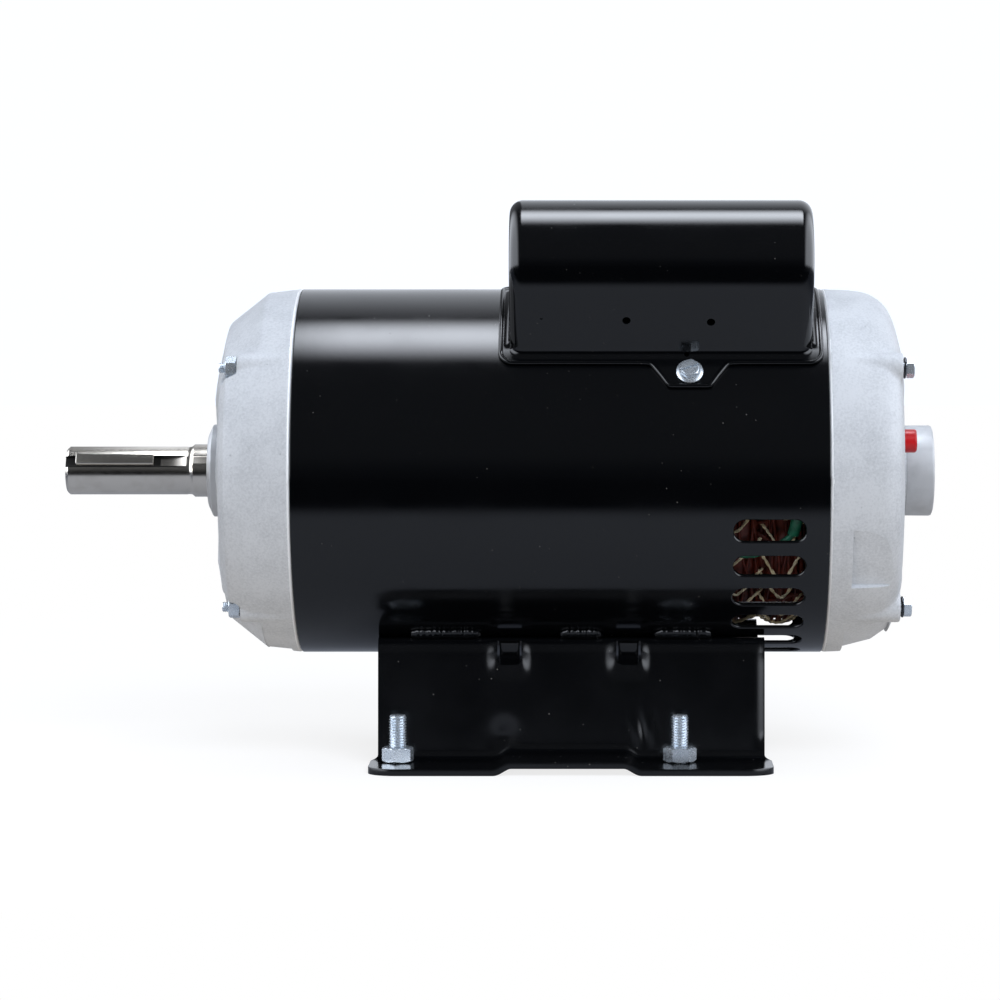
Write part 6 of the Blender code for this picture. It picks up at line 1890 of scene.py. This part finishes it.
@dataclass
class Winding:
    """Wound coils behind the vents, their lacing and the leads."""

    run_ring: CoilRing = CoilRing(107.0 * MM, 58.8 * MM, 14.5 * MM, 9.8 * MM)
    start_ring: CoilRing = CoilRing(129.0 * MM, 62.0 * MM, 9.0 * MM, 7.0 * MM)
    drive_ring: CoilRing = CoilRing(-44.0 * MM, 53.5 * MM, 13.0 * MM, 6.6 * MM)
    slots: int = 18
    wire: float = 1.5 * MM
    lacing: float = 0.95 * MM
    slot_radius: float = 53.5 * MM
    bar_half: tuple[float, float] = (4.5 * MM, 2.7 * MM)
    stitch: Pairs = ((18.0, 6.5), (52.0, 5.0), (92.0, -4.5), (138.0, 4.0), (166.0, 6.0))
    fans: tuple[tuple[float, float, int], ...] = ((-6.0, -66.0, 7), (186.0, 246.0, 6))

    def bundle(self) -> Mesh:
        """Make the varnished body of the coils: their end rings and the bars in the slots.

        Returns:
            The mesh.
        """
        rings = []
        for ring in (self.run_ring, self.start_ring, self.drive_ring):
            rows = [[ring.point(math.tau * k / 24, -0.3 * MM, 3.0 * step) for k in range(24)]
                    for step in range(120)]
            rings.append(woven(rows, loop=True))
        bars = []
        tall, wide = self.bar_half
        corners = ((-tall, -wide), (tall, -wide), (tall, wide), (-tall, wide))
        for index in range(self.slots):
            place = axial(0.0, self.slot_radius, 360.0 * index / self.slots)
            rows = [[place @ Vector((u, v, z)) for u, v in corners]
                    for z in (self.drive_ring.centre + 6.0 * MM, self.run_ring.centre - 6.0 * MM)]
            bars.append(woven(rows, caps=True))
        return joined(rings + bars)

    def wires(self, ring: CoilRing, count: int) -> Mesh:
        """Outer wires of one ring of end turns, wandering over each other.

        Args:
            ring: Ring that they cover.
            count: Number of wires.

        Returns:
            The mesh.
        """
        chance = random.Random(count)
        steps = 108
        loops = []
        for index in range(count):
            start = math.tau * index / count
            phase, sway = chance.uniform(0.0, math.tau), chance.uniform(0.10, 0.32)
            second = chance.uniform(0.0, math.tau)
            points = []
            for step in range(steps):
                turn = math.tau * step / steps
                along = start + sway * math.sin(3 * turn + phase) + 0.08 * math.sin(7 * turn + second)
                grow = (0.9 + 0.55 * math.sin(4 * turn + second) * math.sin(turn + phase)) * MM
                points.append(ring.point(along, grow, math.degrees(turn)))
            loops.append(tube(points, self.wire / 2, 6, loop=True))
        return joined(loops)

    def lacing_cord(self) -> Mesh:
        """Lay two-ply lacing cord over the rear end turns in V-shaped stitches.

        Returns:
            The mesh.
        """
        chance = random.Random(5)
        top, lay, twist, offset = 2, 1.9 * MM, 1.2, 0.36 * MM
        plies = []
        for ring, count in ((self.start_ring, 30), (self.run_ring, 24)):
            for index in range(count):
                middle = 360.0 * index / count + chance.uniform(-2.0, 2.0)
                lean = chance.uniform(-8.0, 8.0)
                path = [(along + (lean if place == top else 0.0), turn)
                        for place, (along, turn) in enumerate(self.stitch)]
                route = smooth_route([ring.point(math.radians(along), lay, middle + turn)
                                      for along, turn in path], 8)
                for ply in (0.0, math.pi):
                    points = []
                    for i, point in enumerate(route):
                        along = (route[min(i + 1, len(route) - 1)] - route[max(i - 1, 0)]).normalized()
                        out = (point - Vector((point.x, 0.0, AXIS_Z))).normalized()
                        side = along.cross(out).normalized()
                        turn = ply + twist * i
                        points.append(point + (out * math.cos(turn) + side * math.sin(turn)) * offset)
                    plies.append(tube(points, self.lacing / 2, 6))
        return joined(plies)

    def leads(self) -> Mesh:
        """Lead wires from the end turns to the switch plate, near side and far side.

        Returns:
            The mesh.
        """
        chance = random.Random(23)
        wires = []
        for start, end, count in self.fans:
            for degrees in spread(start, end, count):
                drift = chance.uniform(-14.0, 14.0)
                high = chance.uniform(64.0, 70.0) * MM
                route = [on_axis(112.0 * MM, 62.2 * MM, degrees - drift),
                         on_axis(119.0 * MM, high, degrees - 0.4 * drift),
                         on_axis(131.0 * MM, high + chance.uniform(-3.0, 3.0) * MM, degrees + 0.3 * drift),
                         on_axis(146.0 * MM, 64.0 * MM, degrees + 0.8 * drift),
                         on_axis(157.6 * MM, 60.0 * MM, degrees + drift)]
                wires.append(tube(smooth_route(route, 6), chance.uniform(0.8, 1.3) * MM, 8))
        return joined(wires)

    def build(self) -> None:
        """Add the coils, cord and leads."""
        bundle = cast_skin(self.bundle(), 1.6 * MM, 2)
        outward = [vertex.normal.copy() for vertex in bundle.vertices]
        for vertex, normal in zip(bundle.vertices, outward):
            vertex.co += normal * (0.25 * MM * noise.noise(vertex.co * per_mm(3.0)))
        piece("varnished_coils", bundle, WIRE, Body.FRAME, ["stator_winding"], sharp=180.0)
        wires = joined([self.wires(self.run_ring, 38), self.wires(self.start_ring, 27)])
        piece("coil_wires", wires, WIRE, Body.FRAME, ["rear_winding_layer"], sharp=180.0)
        piece("lacing_twist", self.lacing_cord(), LACING, Body.FRAME, ["winding_lacing"], sharp=180.0)
        piece("coil_leads", self.leads(), WIRE, Body.FRAME, sharp=180.0)


@dataclass
class Leads:
    """Capacitor leads and the green ground lead."""

    diameter: float = 3.0 * MM
    plate: float = 157.7 * MM
    seat: float = 62.0 * MM
    straight: float = 12.0 * MM
    angle: float = 60.0
    tab_end: float = 116.3 * MM
    tab_radius: float = 110.8 * MM
    tab_offset: float = 26.0 / 3 * MM
    hole: float = 128.0 * MM
    ground_angle: float = 8.0
    ground_radius: float = 74.8 * MM
    ground_bends: Pairs = ((137.0, -8.0), (133.0, -19.0), (115.0, -27.0), (96.0, -24.0), (84.3, -24.0))
    sleeve_radius: float = 2.7 * MM

    def routes(self) -> dict[str, list[Vector]]:
        """Points of each lead, by the node that it stands for.

        Returns:
            The points.
        """
        routes = {}
        for index, side in enumerate((-1, 1), start=1):
            tab = self.angle + side * math.degrees(self.tab_offset / self.tab_radius)
            slip = side * math.degrees(self.diameter * 0.7 / SHELL_RADIUS)
            route = [on_axis(x, self.tab_radius, tab)
                     for x in (self.tab_end, self.tab_end + 2 * self.diameter)]
            route += [on_axis(self.hole, SHELL_RADIUS + rise * MM, self.angle + slip)
                      for rise in (8.0, 0.0, -8.0)]
            route += [on_axis(x, self.seat, self.angle + 2 * slip)
                      for x in (self.plate - self.straight, self.plate)]
            routes[f"capacitor_lead_{index}"] = route
        route = [on_axis(x, self.seat, self.ground_angle) for x in (self.plate, self.plate - self.straight)]
        route += [on_axis(x * MM, self.ground_radius, bend) for x, bend in self.ground_bends]
        routes["ground_lead"] = route
        return routes

    def build(self) -> None:
        """Add the three leads and the sleeve over the ground lead's bend."""
        routes = self.routes()
        for node, route in routes.items():
            points = [route[0], *smooth_route(route[1:-1], 6), route[-1]]
            finish = SLEEVE if node == "ground_lead" else BLACK
            piece(f"{node}_wire", tube(points, self.diameter / 2, 12), finish, Body.FRAME, [node], sharp=60.0)
        sleeve = smooth_route(routes["ground_lead"][1:4], 8)
        piece("ground_sleeve", tube(sleeve, self.sleeve_radius, 16), SLEEVE, Body.FRAME, sharp=60.0)


@dataclass
class Button:
    """Red reset button of the overload protector."""

    radius: float = 5.3 * MM
    top: float = 190.0 * MM
    edge: float = 1.2 * MM
    stem_radius: float = 2.0 * MM
    flange: float = 178.7 * MM
    flange_radius: float = 6.4 * MM
    flange_height: float = 1.2 * MM
    point: float = 0.3 * MM

    def build(self) -> None:
        """Add the button."""
        low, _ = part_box("reset_button")
        stem, r, e = low.x, self.radius, self.edge
        under = self.flange - self.flange_height
        profile = [(stem, self.point), (stem, self.stem_radius), (under, self.stem_radius),
                   (under, self.flange_radius), (self.flange, self.flange_radius), (self.flange, r)]
        profile += [(self.top - e + e * math.sin(a), r - e + e * math.cos(a))
                    for a in spread(0.0, math.pi / 2, 8)]
        profile.append((self.top, self.point))
        place = button_line(0.0)
        piece("red_button", moved(turned(profile, 64), place), RED, Body.BUTTON, ["reset_button"], sharp=40.0)


def dress_nodes() -> None:
    """Give every node that still shows its finish."""
    slots = {slot.value: slot for slot in Slot}
    for name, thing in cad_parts.items():
        for holder in thing.material_slots:
            known = [slot for value, slot in slots.items()
                     if holder.material and value in holder.material.name]
            if known:
                holder.material = NODE_FINISHES[known[0]].material()
            else:
                LOG.info("%s has no known slot", name)


def main() -> None:
    """Build the studio and the motor, piece by piece."""
    logging.basicConfig(level=logging.INFO, format="%(name)s: %(message)s")
    Studio().build()
    dress_nodes()
    for part in (Shell(), drive_bell(), rear_bell(), Hubs(), ThroughBolts(), Shaft(), Cover(), Base(),
                 Winding(), Leads(), Button()):
        part.build()
        LOG.info("%s is done", type(part).__name__)


if __name__ == "__main__":
    main()
